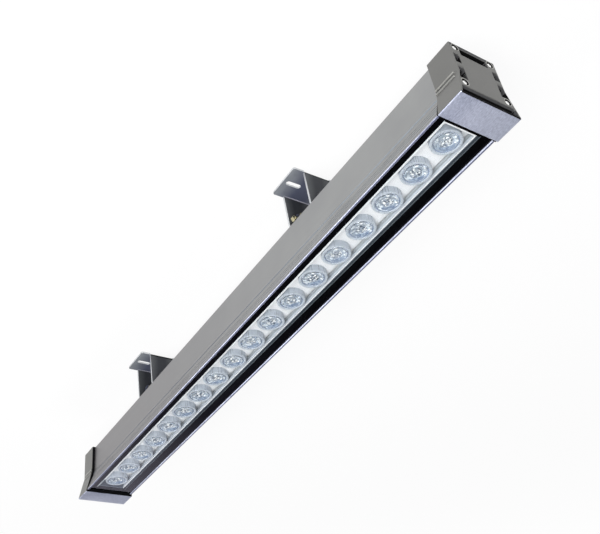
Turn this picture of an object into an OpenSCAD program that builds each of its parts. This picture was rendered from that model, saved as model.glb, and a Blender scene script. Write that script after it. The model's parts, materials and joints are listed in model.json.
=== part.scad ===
// Outdoor linear wall washer light on two tilting brackets, in millimetres.
// X runs along the light, Y across it, and Z from the feet up to the glass.
// Z = 0 is the wall face of the feet. X = 0 is the middle of the whole part, gland included.

/* [Fixture] */
// Length over the two end caps
fixture_length = 1000; // [900:10:1300]
// Wall face of the feet to the tilt axis
pivot_height = 38.5; // [38:0.5:60]
// Tilt axis to the back of the housing
pivot_drop = 31.9; // [30:0.1:50]
// Left bracket's place from the middle of the light
bracket_left_x = -195.5; // [-320:0.5:-80]
// Right bracket's place from the middle of the light
bracket_right_x = 275; // [80:0.5:320]

/* [Housing] */
// Back of the housing to the lip tops
housing_depth = 79.1; // [76:0.1:100]
// Width over the front lips
front_w = 80; // [78:0.5:100]
// Width over the parallel back
back_w = 57.8; // [55:0.2:66]
// Lip tops down to the kink where the sides turn parallel
flare_depth = 34.9; // [32:0.1:40]
// Width of each lip
lip_w = 3.6; // [2.4:0.1:5]
// Straight outer side of each lip
lip_side_h = 1.5; // [1:0.1:3]
// Side wall of the lower chamber
wall_t = 2.3; // [1.8:0.1:3]
// Back wall of the lower chamber
back_t = 2.5; // [2:0.1:3.5]
// Web between the lens chamber and the lower chamber
web_t = 3; // [2.6:0.1:4]
// Lip tops down to the ledge under the glass
ledge_depth = 5.5; // [4.6:0.1:7]
// Width of the ledge under the glass
ledge_w = 7.4; // [6:0.1:8]
// Lip tops down to the web
chamber_depth = 21.7; // [21:0.1:26]
// Lip tops down to the decorative band on the flared sides
band_depth = 24.5; // [22:0.1:27]
// Width of the decorative band
band_w = 6; // [4:0.1:7]
// How far the band is sunk
band_sink = 0.5; // [0.2:0.05:0.8]

/* [Back track] */
// Mouth of the T track along the back
track_mouth_w = 8.6; // [7.4:0.1:10]
// Inner width of the T track
track_w = 17; // [14:0.1:20]
// Inner height of the T track
track_h = 5.2; // [4.6:0.1:6]
// Thickness of the T track's lips
track_lip_t = 2.2; // [1.8:0.1:3]
// Wall round the T track
track_wall_t = 2; // [1.5:0.1:2.5]

/* [End caps] */
// Length of each end cap
cap_length = 35; // [32:0.5:50]
// How far the cap stands above the lips
lip_drop = 2.5; // [1:0.1:4]
// How far the cap stands out beside the lips
cap_front_over = 1.5; // [1:0.1:3]
// How far the cap stands out beside the parallel back
cap_back_over = 3.6; // [2:0.1:5]
// How far the cap stands out behind the housing
cap_back_lap = 2.4; // [1:0.1:4]
// Straight side of the cap's front edge
cap_edge_h = 2; // [1:0.1:4]
// Wall between the cap's inside and its end face
cap_end_t = 8; // [6:0.1:10]
// Thickness of the gasket at each cap
gasket_t = 2; // [1:0.1:3]
// How far the gasket bulges past the housing
gasket_bulge = 0.5; // [0.1:0.1:0.8]
// Distance between the two beads on each side of a cap
bead_pitch = 6; // [4:0.1:8]
// Radius of these beads
bead_r = 0.8; // [0.4:0.1:1]
// Cap's end face to the beads' ends
bead_margin = 9; // [4:0.5:14]

/* [Cap end face] */
// Height of the slot behind the cap's front edge
end_slot_h = 7; // [4:0.1:7.5]
// Depth of that slot
end_slot_deep = 8; // [4:0.5:12]
// Wall left at each end of that slot
end_slot_wall = 2.6; // [1.5:0.1:5]
// Cap's face down to the upper side pockets
upper_pocket_top = 26.5; // [26:0.1:28]
// Height of the upper side pockets
upper_pocket_h = 18.5; // [8:0.5:22]
// Cap's face down to the lower side pockets
lower_pocket_top = 52; // [50:0.5:56]
// Height of the lower side pockets
lower_pocket_h = 13; // [6:0.5:15]
// Middle of the cap to the side pockets
pocket_inner_y = 24; // [22:0.5:27]
// Wall beside the side pockets
pocket_wall = 2.2; // [1.5:0.1:4]
// Depth of the side pockets
pocket_deep = 12; // [4:0.5:16]
// Cap's face down to the back slot
back_slot_top = 69; // [68:0.1:71]
// Height of the back slot
back_slot_h = 9; // [4:0.1:10]
// Width of the back slot
back_slot_w = 38; // [20:0.5:39]
// Cap's face down to the space inside the cap
cavity_top = 14; // [12:0.5:20]
// Height of the space inside the cap
cavity_h = 52; // [30:0.5:52]
// Width of the space inside the cap
cavity_w = 41; // [24:0.5:41]

/* [Cap screws] */
// Depth of the front screws below the cap's face
screw_front_depth = 20; // [19.5:0.1:21]
// Front screws' distance from the housing's flared side
screw_front_inset = 5.2; // [4.6:0.1:6]
// Back screws' distance from the housing's back
screw_back_rise = 4.1; // [4:0.1:5]
// Back screws' distance from the housing's parallel side
screw_back_inset = 3.9; // [3.9:0.1:4.6]
// Radius of the screws
cap_screw_r = 2; // [1.5:0.1:2]
// Radius of the screw heads
cap_head_r = 3.5; // [3:0.1:3.8]
// Room round the screw heads
cap_head_room = 1.4; // [0.4:0.1:1.4]
// How deep the screw heads lie
cap_head_sink = 2; // [0:0.1:6]
// Height of the screw heads
cap_head_h = 4; // [2.5:0.1:4.5]
// Length of thread in the housing
cap_screw_grip = 12; // [6:0.5:25]

/* [Glass] */
// Thickness of the glass
glass_t = 3; // [2:0.1:3.5]
// Height from the ledge to the glass, print and seal together
seal_h = 1; // [0.6:0.05:1.2]
// Gap between the glass and the lips
glass_gap = 0.4; // [0.1:0.1:0.8]
// Half width of the clear window
window_half = 25.4; // [23:0.1:27]
// Black print at each end of the glass
print_end = 4.1; // [2:0.1:7]
// Thickness of the black print
print_t = 0.15; // [0.1:0.05:0.3]

/* [Tray and boards] */
// Width over the reflector tray
tray_w = 42.6; // [42:0.1:46]
// Wall of the tray
tray_wall_t = 0.9; // [0.7:0.1:1.2]
// Lip tops down to the tray's rim
tray_rim_depth = 6.8; // [6.2:0.1:7.2]
// Web up to the face of the tray's floor
tray_floor_rise = 4.6; // [4.4:0.1:5]
// Thickness of the tray's floor
tray_floor_t = 0.8; // [0.5:0.1:1]
// Gap from each end of the housing to the tray
tray_end_gap = 7.6; // [5:0.1:12]
// Thickness of the lamp boards
board_t = 1.6; // [1:0.1:1.8]
// Width of the lamp boards
board_w = 36; // [24:0.5:38]
// Side of each lamp package
package_w = 3.4; // [2.5:0.1:3.8]
// Height of each package below its dome
package_h = 1.1; // [0.8:0.1:1.2]
// Radius of the dome on each package
package_dome_r = 1.4; // [0.8:0.1:1.6]

/* [Lenses] */
// Tray end to the first lens
lens_end_margin = 21.9; // [20:0.1:30]
// Outer radius of the lens holders
holder_r = 18.3; // [17:0.1:18.8]
// Height of the lens holders
holder_h = 9.2; // [8.6:0.1:9.6]
// Width of the holders' top ring
holder_ring_w = 3.2; // [2:0.1:4]
// Thickness of each lens flange
lens_flange_t = 1.5; // [1:0.1:2]
// Radius of the dished middle of a lens
lens_dish_r = 9.6; // [7:0.1:10.5]
// Depth of the dished middle
lens_dish_depth = 2.2; // [1:0.1:3]
// Rise of the dome in the dish
lens_dome_h = 1.5; // [0.5:0.1:2.5]
// Radius of the lens foot round the lamp
lens_foot_r = 7.2; // [5:0.1:7.6]
// Radius of the recess over the lamp
lens_recess_r = 3; // [2.8:0.1:4]

/* [Brackets] */
// Length of each bracket along the light, over its arms
bracket_w = 53; // [50:0.5:70]
// Length of each foot across the light
foot_l = 72; // [66:0.5:90]
// Sheet thickness of the brackets
plate_t = 3; // [2:0.1:4]
// Width of the arms at the foot
arm_root_w = 40; // [36:0.5:44]
// Width of the arms at their ends
arm_tip_w = 35.5; // [32:0.5:36]
// Tilt axis to the ends of the arms
arm_rise = 19; // [14:0.1:20]
// Round corners at the arms' ends
arm_corner_r = 5; // [3:0.1:8]
// Outer radius of the bends
bend_r = 4; // [3.5:0.1:5]
// Round corners of the feet
foot_corner_r = 3; // [1:0.1:6]
// Distance between the two slots of a foot
slot_spacing = 40; // [38:0.5:44]
// Length of each slot, end to end
slot_l = 22; // [12:0.5:24]
// Width of each slot
slot_w = 7; // [5:0.1:9]

/* [Lugs] */
// Sheet thickness of the lugs
lug_t = 3; // [2:0.1:4]
// Width of the lug arms
lug_arm_w = 16; // [14:0.5:24]
// Width of the lug's base across the light
lug_base_w = 28; // [20:0.5:34]
// Gap between a lug arm and the bracket arm beside it
arm_gap = 0.3; // [0.1:0.05:0.5]
// Distance between the two track screws of a lug
track_screw_spacing = 20; // [18:0.5:24]
// Length of each track nut
track_nut_l = 15; // [10:0.5:16]
// Radius of the track screws' heads
track_head_r = 5; // [4:0.1:5.5]
// Height of the track screws' heads
track_head_h = 3.4; // [2:0.1:4]

/* [Pivots] */
// Radius of the pivot bolts and the track screws
bolt_r = 3; // [2:0.1:3.2]
// Width across the flats of bolt heads and nuts
hex_w = 10; // [9:0.1:11]
// Height of the bolt heads
bolt_head_h = 4; // [3:0.1:5]
// Height of the pivot nuts
nut_h = 5; // [3:0.1:6]
// Radius of the flat washers
washer_r = 6.2; // [5.5:0.1:7]
// Thickness of the flat washers
washer_t = 1; // [0.6:0.1:1.6]
// Thickness of the spring washers
spring_washer_t = 1.5; // [1:0.1:2]
// Radius of the spring washers
spring_washer_r = 5.2; // [4.5:0.1:6]
// How far the bolts stand out of their nuts
bolt_tail = 1.5; // [0.5:0.1:4]

/* [Driver] */
// Length of the driver case
driver_l = 184; // [120:1:190]
// Width of the driver case
driver_w = 40; // [30:0.5:44]
// Height of the driver case
driver_h = 28; // [22:0.5:32]
// Length of the driver's end tabs
driver_tab_l = 12; // [9:0.5:20]
// Thickness of the driver's end tabs
driver_tab_t = 1.5; // [1:0.1:2]

/* [Cable gland] */
// Depth of the gland's axis below the cap's face
gland_depth = 40; // [32:0.5:48]
// Radius of the gland's thread
gland_thread_r = 6; // [5:0.1:8]
// Radius of the cable bore
gland_bore_r = 3.5; // [2.5:0.1:4]
// Width across the flats of the gland's body
gland_hex_w = 15; // [14.5:0.1:18]
// Thickness of the gland's hexagon
gland_hex_h = 5; // [3:0.1:7]
// Length of the gland's cap nut
gland_nut_h = 11; // [8:0.1:16]
// How far the gland's nose goes into its cap nut
gland_nose_h = 7; // [4:0.1:7.5]
// Difference in radius between the gland's thread and its nose
gland_nose_step = 0.5; // [0.3:0.1:1]
// Thickness of the gland's rubber seal
gland_seal_t = 1.2; // [0.8:0.1:2]
// How far the gland's thread stands into the cap
gland_tail = 2.5; // [1:0.1:5]

/* [Hidden] */
$fn = 64;

// How far cuts run past the surfaces they open
cut_over = 1;
// Radial room round screws in clearance holes
screw_room = 0.1;
// Radial room of the tilt joint's running fit
pivot_room = 0.05;
// Room under the lugs and over the track nuts, so that they slide
slide_room = 0.05;
// Room beside the track nuts
track_nut_side_room = 0.3;
// Room between a lens and its holder
lens_room = 0.2;
// Gap between neighbouring lamp boards
board_gap = 0.6;
// Room above the lamp domes
lamp_room = 1.2;
// Room above the track nuts
track_nut_top_room = 0.4;
// Straight pieces that make up each quarter round, and each lens dome
arc_steps = 6;
dome_steps = 10;

// Heights of the main levels above the wall face of the feet
back_z = pivot_height + pivot_drop;
lip_z = back_z + housing_depth;
front_z = lip_z + lip_drop;
kink_z = lip_z - flare_depth;
ledge_z = lip_z - ledge_depth;
glass_z = ledge_z + seal_h;
web_z = lip_z - chamber_depth;
web_under_z = web_z - web_t;
cap_back_z = back_z - cap_back_lap;
tray_floor_z = web_z + tray_floor_rise;
tray_rim_z = lip_z - tray_rim_depth;
board_z = web_z + board_t;

// Lengths along X
gland_reach = gland_hex_h + gland_nut_h;
mid_x = -gland_reach / 2;
housing_length = fixture_length - 2 * (cap_length + gasket_t);
tray_length = housing_length - 2 * tray_end_gap;

// Lenses in a row. The node names depend on their number.
lens_count = 18;
board_count = 3;
lens_pitch = (tray_length - 2 * lens_end_margin) / (lens_count - 1);
board_pitch = lens_pitch * lens_count / board_count;

// Radius of the driver's mounting screws and the board screws
small_screw_r = 1.5;
small_head_r = 2.7;
small_head_h = 1.6;
// How far these screws go into the web
small_screw_grip = 2.4;
// Board screws lie half way between lenses, this many pitches from the board's middle
board_screw_pitches_share = 2;

// Radius of the two internal leads
supply_lead_r = 3.2;
board_lead_r = 2;
board_lead_bend_r = 5;
// Straight run of the board lead at the driver
board_lead_run = 8;
board_lead_hole_r = 2.6;
// The board lead runs beside the row of screws, this far from the light's middle plane
board_lead_y = small_head_r + board_lead_hole_r + screw_room;

// Half width of the housing at a depth below the lip tops, down to the kink
function flare_half(depth) =
    front_w / 2 - (front_w - back_w) / 2 * (depth - lip_side_h) / (flare_depth - lip_side_h);

// Where the four screws of a cap lie, as [Y, Z]
screw_front_y = flare_half(screw_front_depth - lip_drop) - screw_front_inset;
screw_back_y = back_w / 2 - screw_back_inset;
screw_places = [
    [screw_front_y, front_z - screw_front_depth],
    [-screw_front_y, front_z - screw_front_depth],
    [screw_back_y, back_z + screw_back_rise],
    [-screw_back_y, back_z + screw_back_rise]
];
port_r = cap_screw_r + screw_room;
port_wall = 1.9;
counterbore_r = cap_head_r + cap_head_room;
counterbore_depth = cap_head_h + cap_head_sink;

// Inner half widths of the housing
pocket_half = front_w / 2 - lip_w;
chamber_half = pocket_half - ledge_w;
web_half = screw_front_y - port_r - port_wall;

// Brackets and lugs, measured from the tilt axis
lug_half = bracket_w / 2 - plate_t - arm_gap;
lug_base_z = pivot_drop - slide_room - lug_t;
track_nut_h = track_h - slide_room - track_nut_top_room;
hex_r = hex_w / sqrt(3);

lens_names = [for (i = [0 : lens_count - 1]) lens_name(i)];

function lens_name(i) = str("lens_", i < 9 ? "0" : "", i + 1);
function lens_x(i) = mid_x + (i - (lens_count - 1) / 2) * lens_pitch;
function board_x(i) = mid_x + (i - (board_count - 1) / 2) * board_pitch;
function mirrored(points) = [for (i = [len(points) - 1 : -1 : 0]) [-points[i][0], points[i][1]]];
function arc(middle, r, from, to) =
    [for (step = [0 : arc_steps]) let (angle = from + (to - from) * step / arc_steps)
        middle + r * [cos(angle), sin(angle)]];

// Extrudes a drawing of the Y and Z axes along X, about the given middle
module along_x(length, middle = mid_x) {
    translate([middle - length / 2, 0, 0])
        rotate([90, 0, 90]) linear_extrude(length) children();
}

// A cylinder along X from x0 to x1
module rod_x(r, x0, x1, y = 0, z = 0, sides = $fn) {
    translate([x0, y, z]) rotate([0, 90, 0]) cylinder(r = r, h = x1 - x0, $fn = sides);
}

// A block given by its lowest and highest corners
module block(low, high) {
    translate(low) cube(high - low);
}

// Places a cap's piece, drawn with X pointing out of the light from the cap's inner face
module at_cap(side) {
    translate([mid_x + side * (fixture_length / 2 - cap_length), 0, 0])
        mirror([side < 0 ? 1 : 0, 0, 0]) children();
}

// Right half of the housing's outline, from the back up to the lip
function outline_half(extra, sink) = [
    [back_w / 2 + extra, back_z - extra],
    [back_w / 2 + extra, kink_z],
    [flare_half(band_depth + band_w) + extra, lip_z - band_depth - band_w],
    [flare_half(band_depth + band_w - sink) + extra - sink, lip_z - band_depth - band_w + sink],
    [flare_half(band_depth + sink) + extra - sink, lip_z - band_depth - sink],
    [flare_half(band_depth) + extra, lip_z - band_depth],
    [front_w / 2 + extra, lip_z - lip_side_h],
    [front_w / 2 + extra, lip_z + extra]
];

module housing_outline(extra = 0, sink = band_sink) {
    half = outline_half(extra, sink);
    polygon(concat(half, mirrored(half)));
}

// Open space of the lower chamber, beside the track and the back screw ports
module lower_chamber() {
    half = [
        [back_w / 2 - wall_t, back_z + back_t],
        [back_w / 2 - wall_t, kink_z],
        [flare_half(chamber_depth + web_t) - wall_t, web_under_z]
    ];
    difference() {
        polygon(concat(half, mirrored(half)));
        translate([-track_w / 2 - track_wall_t, back_z])
            square([track_w + 2 * track_wall_t, track_lip_t + track_h + track_wall_t]);
        for (side = [-1, 1])
            translate([side * screw_back_y, back_z + screw_back_rise]) circle(port_r + port_wall);
    }
}

module track_profile() {
    translate([-track_mouth_w / 2, back_z - cut_over]) square([track_mouth_w, track_lip_t + 2 * cut_over]);
    translate([-track_w / 2, back_z + track_lip_t]) square([track_w, track_h]);
}

module housing_profile() {
    difference() {
        housing_outline();
        translate([-pocket_half, ledge_z]) square([2 * pocket_half, ledge_depth + cut_over]);
        translate([-chamber_half, front_z - screw_front_depth + port_r + port_wall])
            square([2 * chamber_half, chamber_depth]);
        translate([-web_half, web_z]) square([2 * web_half, chamber_depth]);
        lower_chamber();
        track_profile();
        for (place = screw_places) translate(place) circle(port_r);
    }
}

module housing() {
    color("#9a9b9b") difference() {
        along_x(housing_length) housing_profile();
        for (place = board_screw_places()) translate([place, 0, web_z - small_screw_grip])
            cylinder(r = small_screw_r + screw_room, h = small_screw_grip + cut_over);
        for (place = driver_screw_places()) translate([place, 0, web_under_z - cut_over])
            cylinder(r = small_screw_r + screw_room, h = small_screw_grip + cut_over);
        translate([board_lead_x(), board_lead_y, web_under_z - cut_over])
            cylinder(r = board_lead_hole_r, h = web_t + 2 * cut_over);
    }
}

// A frame seen from the front: the glass outline less a window
module glass_frame(window_side, window_end, z, t) {
    half = pocket_half - glass_gap;
    difference() {
        block([mid_x - housing_length / 2, -half, z], [mid_x + housing_length / 2, half, z + t]);
        block([mid_x - housing_length / 2 + window_end, -window_side, z - cut_over],
              [mid_x + housing_length / 2 - window_end, window_side, z + t + cut_over]);
    }
}

module glass_cover() {
    half = pocket_half - glass_gap;
    color("#dfe8ec", 0.35)
        block([mid_x - housing_length / 2, -half, glass_z],
              [mid_x + housing_length / 2, half, glass_z + glass_t]);
}

module glass_print() {
    color("#060606") glass_frame(window_half, print_end, glass_z - print_t, print_t);
}

module glass_seal() {
    color("#1c1d20") glass_frame(chamber_half, print_end, ledge_z, seal_h - print_t);
}

// Half width of a cap at a depth below its face
function cap_half(depth) =
    let (front = front_w / 2 + cap_front_over, back = back_w / 2 + cap_back_over,
         kink = lip_drop + flare_depth)
    depth < cap_edge_h ? front
        : depth > kink ? back
        : front - (front - back) * (depth - cap_edge_h) / (kink - cap_edge_h);

module cap_outline() {
    half = [
        [cap_half(front_z - cap_back_z), cap_back_z],
        [cap_half(lip_drop + flare_depth), kink_z],
        [cap_half(cap_edge_h), front_z - cap_edge_h],
        [cap_half(0), front_z]
    ];
    corner_r = cap_edge_h / 2;
    offset(corner_r) offset(-corner_r) polygon(concat(half, mirrored(half)));
}

// A recess in a cap's end face, from depth top down by h, between y0 and y1
module end_recess(top, h, y0, y1, deep) {
    block([cap_length - deep, y0, front_z - top - h], [cap_length + cut_over, y1, front_z - top]);
}

module cap_end_cuts() {
    slot_half = cap_half(cap_edge_h + end_slot_h) - end_slot_wall;
    end_recess(cap_edge_h, end_slot_h, -slot_half, slot_half, end_slot_deep);
    for (side = [-1, 1]) mirror([0, side < 0 ? 1 : 0, 0]) {
        end_recess(upper_pocket_top, upper_pocket_h, pocket_inner_y,
                   cap_half(upper_pocket_top + upper_pocket_h) - pocket_wall, pocket_deep);
        end_recess(lower_pocket_top, lower_pocket_h, pocket_inner_y,
                   cap_half(lower_pocket_top + lower_pocket_h) - pocket_wall, pocket_deep);
    }
    end_recess(back_slot_top, back_slot_h, -back_slot_w / 2, back_slot_w / 2, end_slot_deep);
}

// The opening through a cap's inner face and its gasket, from x0 to x1
module cavity(x0, x1) {
    block([x0, -cavity_w / 2, front_z - cavity_top - cavity_h], [x1, cavity_w / 2, front_z - cavity_top]);
}

// One cap with X out of the light. gland_hole is the radius of its hole for a gland, or 0.
module end_cap(gland_hole) {
    kink_depth = lip_drop + flare_depth;
    difference() {
        union() {
            along_x(cap_length, cap_length / 2) cap_outline();
            for (side = [-1, 1], depth = [kink_depth - bead_pitch / 2, kink_depth + bead_pitch / 2])
                rod_x(bead_r, 0, cap_length - bead_margin, side * cap_half(depth), front_z - depth, 24);
        }
        cap_end_cuts();
        cavity(-cut_over, cap_length - cap_end_t);
        for (place = screw_places) {
            rod_x(port_r, -cut_over, cap_length, place[0], place[1]);
            rod_x(counterbore_r, cap_length - counterbore_depth, cap_length + cut_over, place[0], place[1]);
        }
        if (gland_hole > 0)
            rod_x(gland_hole, 0, cap_length + cut_over, 0, front_z - gland_depth);
    }
}

module end_cap_left() {
    color("#7d7e7b") at_cap(-1) end_cap(0);
}

module end_cap_right() {
    color("#7d7e7b") at_cap(1) end_cap(gland_thread_r + screw_room);
}

module cap_gasket() {
    color("#101010") difference() {
        along_x(gasket_t, -gasket_t / 2) housing_outline(gasket_bulge, 0);
        cavity(-gasket_t - cut_over, cut_over);
        for (place = screw_places)
            rod_x(port_r, -gasket_t - cut_over, cut_over, place[0], place[1]);
    }
}

module cap_screws() {
    seat = cap_length - counterbore_depth;
    color("#c9c9c6") for (place = screw_places) difference() {
        union() {
            rod_x(cap_screw_r, -gasket_t - cap_screw_grip, seat, place[0], place[1]);
            rod_x(cap_head_r, seat, seat + cap_head_h, place[0], place[1]);
        }
        rod_x(cap_head_r / 2, seat + cap_head_h / 2, seat + cap_head_h + cut_over, place[0], place[1], 6);
    }
}

module reflector_tray() {
    half = tray_w / 2;
    end_x = tray_length / 2;
    color("#e9eef2") difference() {
        block([mid_x - end_x, -half, web_z], [mid_x + end_x, half, tray_rim_z]);
        block([mid_x - end_x + tray_wall_t, -half + tray_wall_t, tray_floor_z],
              [mid_x + end_x - tray_wall_t, half - tray_wall_t, tray_rim_z + cut_over]);
        block([mid_x - end_x - cut_over, -half + tray_wall_t, web_z - cut_over],
              [mid_x + end_x + cut_over, half - tray_wall_t, tray_floor_z - tray_floor_t]);
        for (i = [0 : lens_count - 1]) translate([lens_x(i), 0, web_z])
            cylinder(r = lens_foot_r + lens_room, h = tray_floor_rise + cut_over);
    }
}

function board_screw_places() =
    [for (i = [0 : board_count - 1], side = [-1, 1])
        board_x(i) + side * board_screw_pitches_share * lens_pitch];

module lamp_boards() {
    half = (board_pitch - board_gap) / 2;
    color("#eceee9") difference() {
        for (i = [0 : board_count - 1])
            block([board_x(i) - half, -board_w / 2, web_z], [board_x(i) + half, board_w / 2, board_z]);
        for (place = board_screw_places()) translate([place, 0, web_z - cut_over])
            cylinder(r = small_screw_r + screw_room, h = board_t + 2 * cut_over);
    }
}

module lamp_packages() {
    color("#f2e6a0") for (i = [0 : lens_count - 1]) translate([lens_x(i), 0, board_z]) {
        block([-package_w / 2, -package_w / 2, 0], [package_w / 2, package_w / 2, package_h]);
        intersection() {
            translate([0, 0, package_h]) sphere(package_dome_r, $fn = 24);
            block([-package_dome_r, -package_dome_r, 0],
                  [package_dome_r, package_dome_r, package_h + package_dome_r]);
        }
    }
}

// A pan-headed screw standing on its head's seat, with its shank below
module small_screw(shank) {
    translate([0, 0, -shank]) cylinder(r = small_screw_r, h = shank + small_head_h / 2);
    cylinder(r = small_head_r, h = small_head_h);
}

module board_screws() {
    color("#c9c9c6") for (place = board_screw_places())
        translate([place, 0, board_z]) small_screw(board_t + small_screw_grip);
}

// Drawn with Z = 0 on the tray's floor
module lens_holder() {
    shoulder_z = holder_h - lens_room - lens_flange_t;
    ring_r = holder_r - holder_ring_w;
    inner_r = ring_r - lens_flange_t / 2;
    rotate_extrude() polygon([
        [inner_r, 0], [holder_r, 0], [holder_r, holder_h],
        [ring_r, holder_h], [ring_r, shoulder_z], [inner_r, shoulder_z]
    ]);
}

module lens_holders() {
    color("#b9c4cf", 0.6) for (i = [0 : lens_count - 1])
        translate([lens_x(i), 0, tray_floor_z]) lens_holder();
}

// A collimating lens: cone, flange, dished top with a dome, and a recess over the lamp
module lens(i) {
    flange_r = holder_r - holder_ring_w - lens_room;
    cone_r = flange_r - lens_flange_t;
    foot_z = board_z + package_h + screw_room;
    top_z = tray_floor_z + holder_h - lens_room;
    dish_z = top_z - lens_dish_depth;
    recess_z = board_z + package_h + package_dome_r + lamp_room;
    dome = [for (step = [dome_steps : -1 : 0]) let (share = step / dome_steps)
        [lens_dish_r * share, dish_z + lens_dome_h * (1 - share * share)]];
    color("#dfe8f0", 0.5) translate([lens_x(i), 0, 0]) rotate_extrude() polygon(concat(
        [[0, recess_z], [lens_recess_r, recess_z], [lens_recess_r, foot_z], [lens_foot_r, foot_z],
         [lens_foot_r, tray_floor_z + lens_room], [cone_r, top_z - lens_flange_t],
         [flange_r, top_z - lens_flange_t], [flange_r, top_z], [lens_dish_r + lens_room, top_z]],
        dome));
}

// The driver hangs from the web on a tab at each end
function driver_screw_places() =
    [for (side = [-1, 1]) mid_x + side * (driver_l + driver_tab_l) / 2];

module driver() {
    color("#d8d8d4") difference() {
        union() {
            block([mid_x - driver_l / 2, -driver_w / 2, web_under_z - driver_h],
                  [mid_x + driver_l / 2, driver_w / 2, web_under_z]);
            block([mid_x - driver_l / 2 - driver_tab_l, -driver_w / 4, web_under_z - driver_tab_t],
                  [mid_x + driver_l / 2 + driver_tab_l, driver_w / 4, web_under_z]);
        }
        for (place = driver_screw_places()) translate([place, 0, web_under_z - driver_tab_t - cut_over])
            cylinder(r = small_screw_r + screw_room, h = driver_tab_t + 2 * cut_over);
    }
}

module driver_screws() {
    color("#c9c9c6") for (place = driver_screw_places())
        translate([place, 0, web_under_z - driver_tab_t]) mirror([0, 0, 1])
            small_screw(driver_tab_t + small_screw_grip);
}

// Sheathed lead inside the light, from the driver to the gland
module supply_lead() {
    color("#1a1a1a") rod_x(supply_lead_r, mid_x + driver_l / 2,
        mid_x + fixture_length / 2 - cap_end_t - gland_tail, 0, front_z - gland_depth, 24);
}

function board_lead_x() = mid_x - driver_l / 2 - driver_tab_l - board_lead_run - board_lead_bend_r;

// Lead from the driver up through the web to the lamp boards
module board_lead() {
    run_z = web_under_z - driver_tab_t - small_head_h - 2 * board_lead_r;
    color("#b02a20") translate([0, board_lead_y, 0]) {
        rod_x(board_lead_r, board_lead_x() + board_lead_bend_r, mid_x - driver_l / 2, 0, run_z, 24);
        translate([board_lead_x() + board_lead_bend_r, 0, run_z + board_lead_bend_r])
            rotate([90, 0, 0]) rotate([0, 0, 180]) rotate_extrude(angle = 90)
                translate([board_lead_bend_r, 0]) circle(board_lead_r, $fn = 24);
        translate([board_lead_x(), 0, run_z + board_lead_bend_r])
            cylinder(r = board_lead_r, h = web_z - run_z - board_lead_bend_r, $fn = 24);
    }
}

// Gland pieces, with X out of the light from the cap's end face
module at_gland() {
    translate([mid_x + fixture_length / 2, 0, front_z - gland_depth]) children();
}

gland_nose_r = gland_thread_r - gland_nose_step;

module gland_body() {
    color("#b8bab8") at_gland() difference() {
        union() {
            rod_x(gland_thread_r, -cap_end_t - gland_tail, gland_hex_h);
            rod_x(gland_hex_w / sqrt(3), 0, gland_hex_h, 0, 0, 6);
            rod_x(gland_nose_r, gland_hex_h, gland_hex_h + gland_nose_h);
        }
        rod_x(gland_bore_r, -cap_end_t - gland_tail - cut_over, gland_hex_h + gland_nose_h + cut_over);
    }
}

module gland_nut() {
    color("#b8bab8") at_gland() difference() {
        rod_x(gland_hex_w / 2, gland_hex_h, gland_reach);
        rod_x(gland_nose_r + screw_room, gland_hex_h - cut_over, gland_hex_h + gland_nose_h + gland_seal_t);
        rod_x(gland_bore_r + screw_room, gland_hex_h, gland_reach + cut_over);
    }
}

// Rubber sleeve squeezed between the gland's nose and its nut
module gland_seal() {
    color("#151515") at_gland() difference() {
        rod_x(gland_nose_r, gland_hex_h + gland_nose_h, gland_hex_h + gland_nose_h + gland_seal_t);
        rod_x(gland_bore_r, gland_hex_h, gland_reach);
    }
}

// Places a bracket's or lug's piece, drawn about the tilt axis
module at_axis(x) {
    translate([mid_x + x, 0, pivot_height]) children();
}

// Side view of one arm, from the foot to the rounded end
module arm_outline() {
    tip_half = arm_tip_w / 2;
    half = concat(
        [[arm_root_w / 2, -pivot_height], [tip_half, arm_rise - arm_corner_r]],
        arc([tip_half - arm_corner_r, arm_rise - arm_corner_r], arm_corner_r, 0, 90));
    polygon(concat(half, mirrored(half)));
}

// End view of the folded sheet, as [X, Z]
module channel_section() {
    half = bracket_w / 2;
    outer = concat(
        arc([half - bend_r, bend_r - pivot_height], bend_r, -90, 0),
        [[half, arm_rise], [half - plate_t, arm_rise]],
        arc([half - bend_r, bend_r - pivot_height], bend_r - plate_t, 0, -90));
    polygon(concat(outer, [for (i = [len(outer) - 1 : -1 : 0]) [-outer[i][0], outer[i][1]]]));
}

// The foot seen from the wall
module foot_outline() {
    w = bracket_w / 2 - foot_corner_r;
    l = foot_l / 2 - foot_corner_r;
    polygon(concat(
        arc([w, l], foot_corner_r, 0, 90), arc([-w, l], foot_corner_r, 90, 180),
        arc([-w, -l], foot_corner_r, 180, 270), arc([w, -l], foot_corner_r, 270, 360)));
}

module bracket(x) {
    color("#46484e") at_axis(x) difference() {
        union() {
            intersection() {
                rotate([90, 0, 0]) translate([0, 0, -arm_root_w / 2])
                    linear_extrude(arm_root_w) channel_section();
                along_x(bracket_w, 0) arm_outline();
            }
            translate([0, 0, -pivot_height]) difference() {
                linear_extrude(plate_t) foot_outline();
                for (side = [-1, 1])
                    block([side * bracket_w / 2 - bend_r, -arm_root_w / 2, -cut_over],
                          [side * bracket_w / 2 + bend_r, arm_root_w / 2, plate_t + cut_over]);
            }
        }
        rod_x(bolt_r + pivot_room, -bracket_w, bracket_w);
        for (side = [-1, 1]) translate([0, side * slot_spacing / 2, -pivot_height - cut_over]) {
            block([-slot_w / 2, (slot_w - slot_l) / 2, 0],
                  [slot_w / 2, (slot_l - slot_w) / 2, plate_t + 2 * cut_over]);
            for (end = [-1, 1]) translate([0, end * (slot_l - slot_w) / 2, 0])
                cylinder(r = slot_w / 2, h = plate_t + 2 * cut_over);
        }
    }
}

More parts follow.
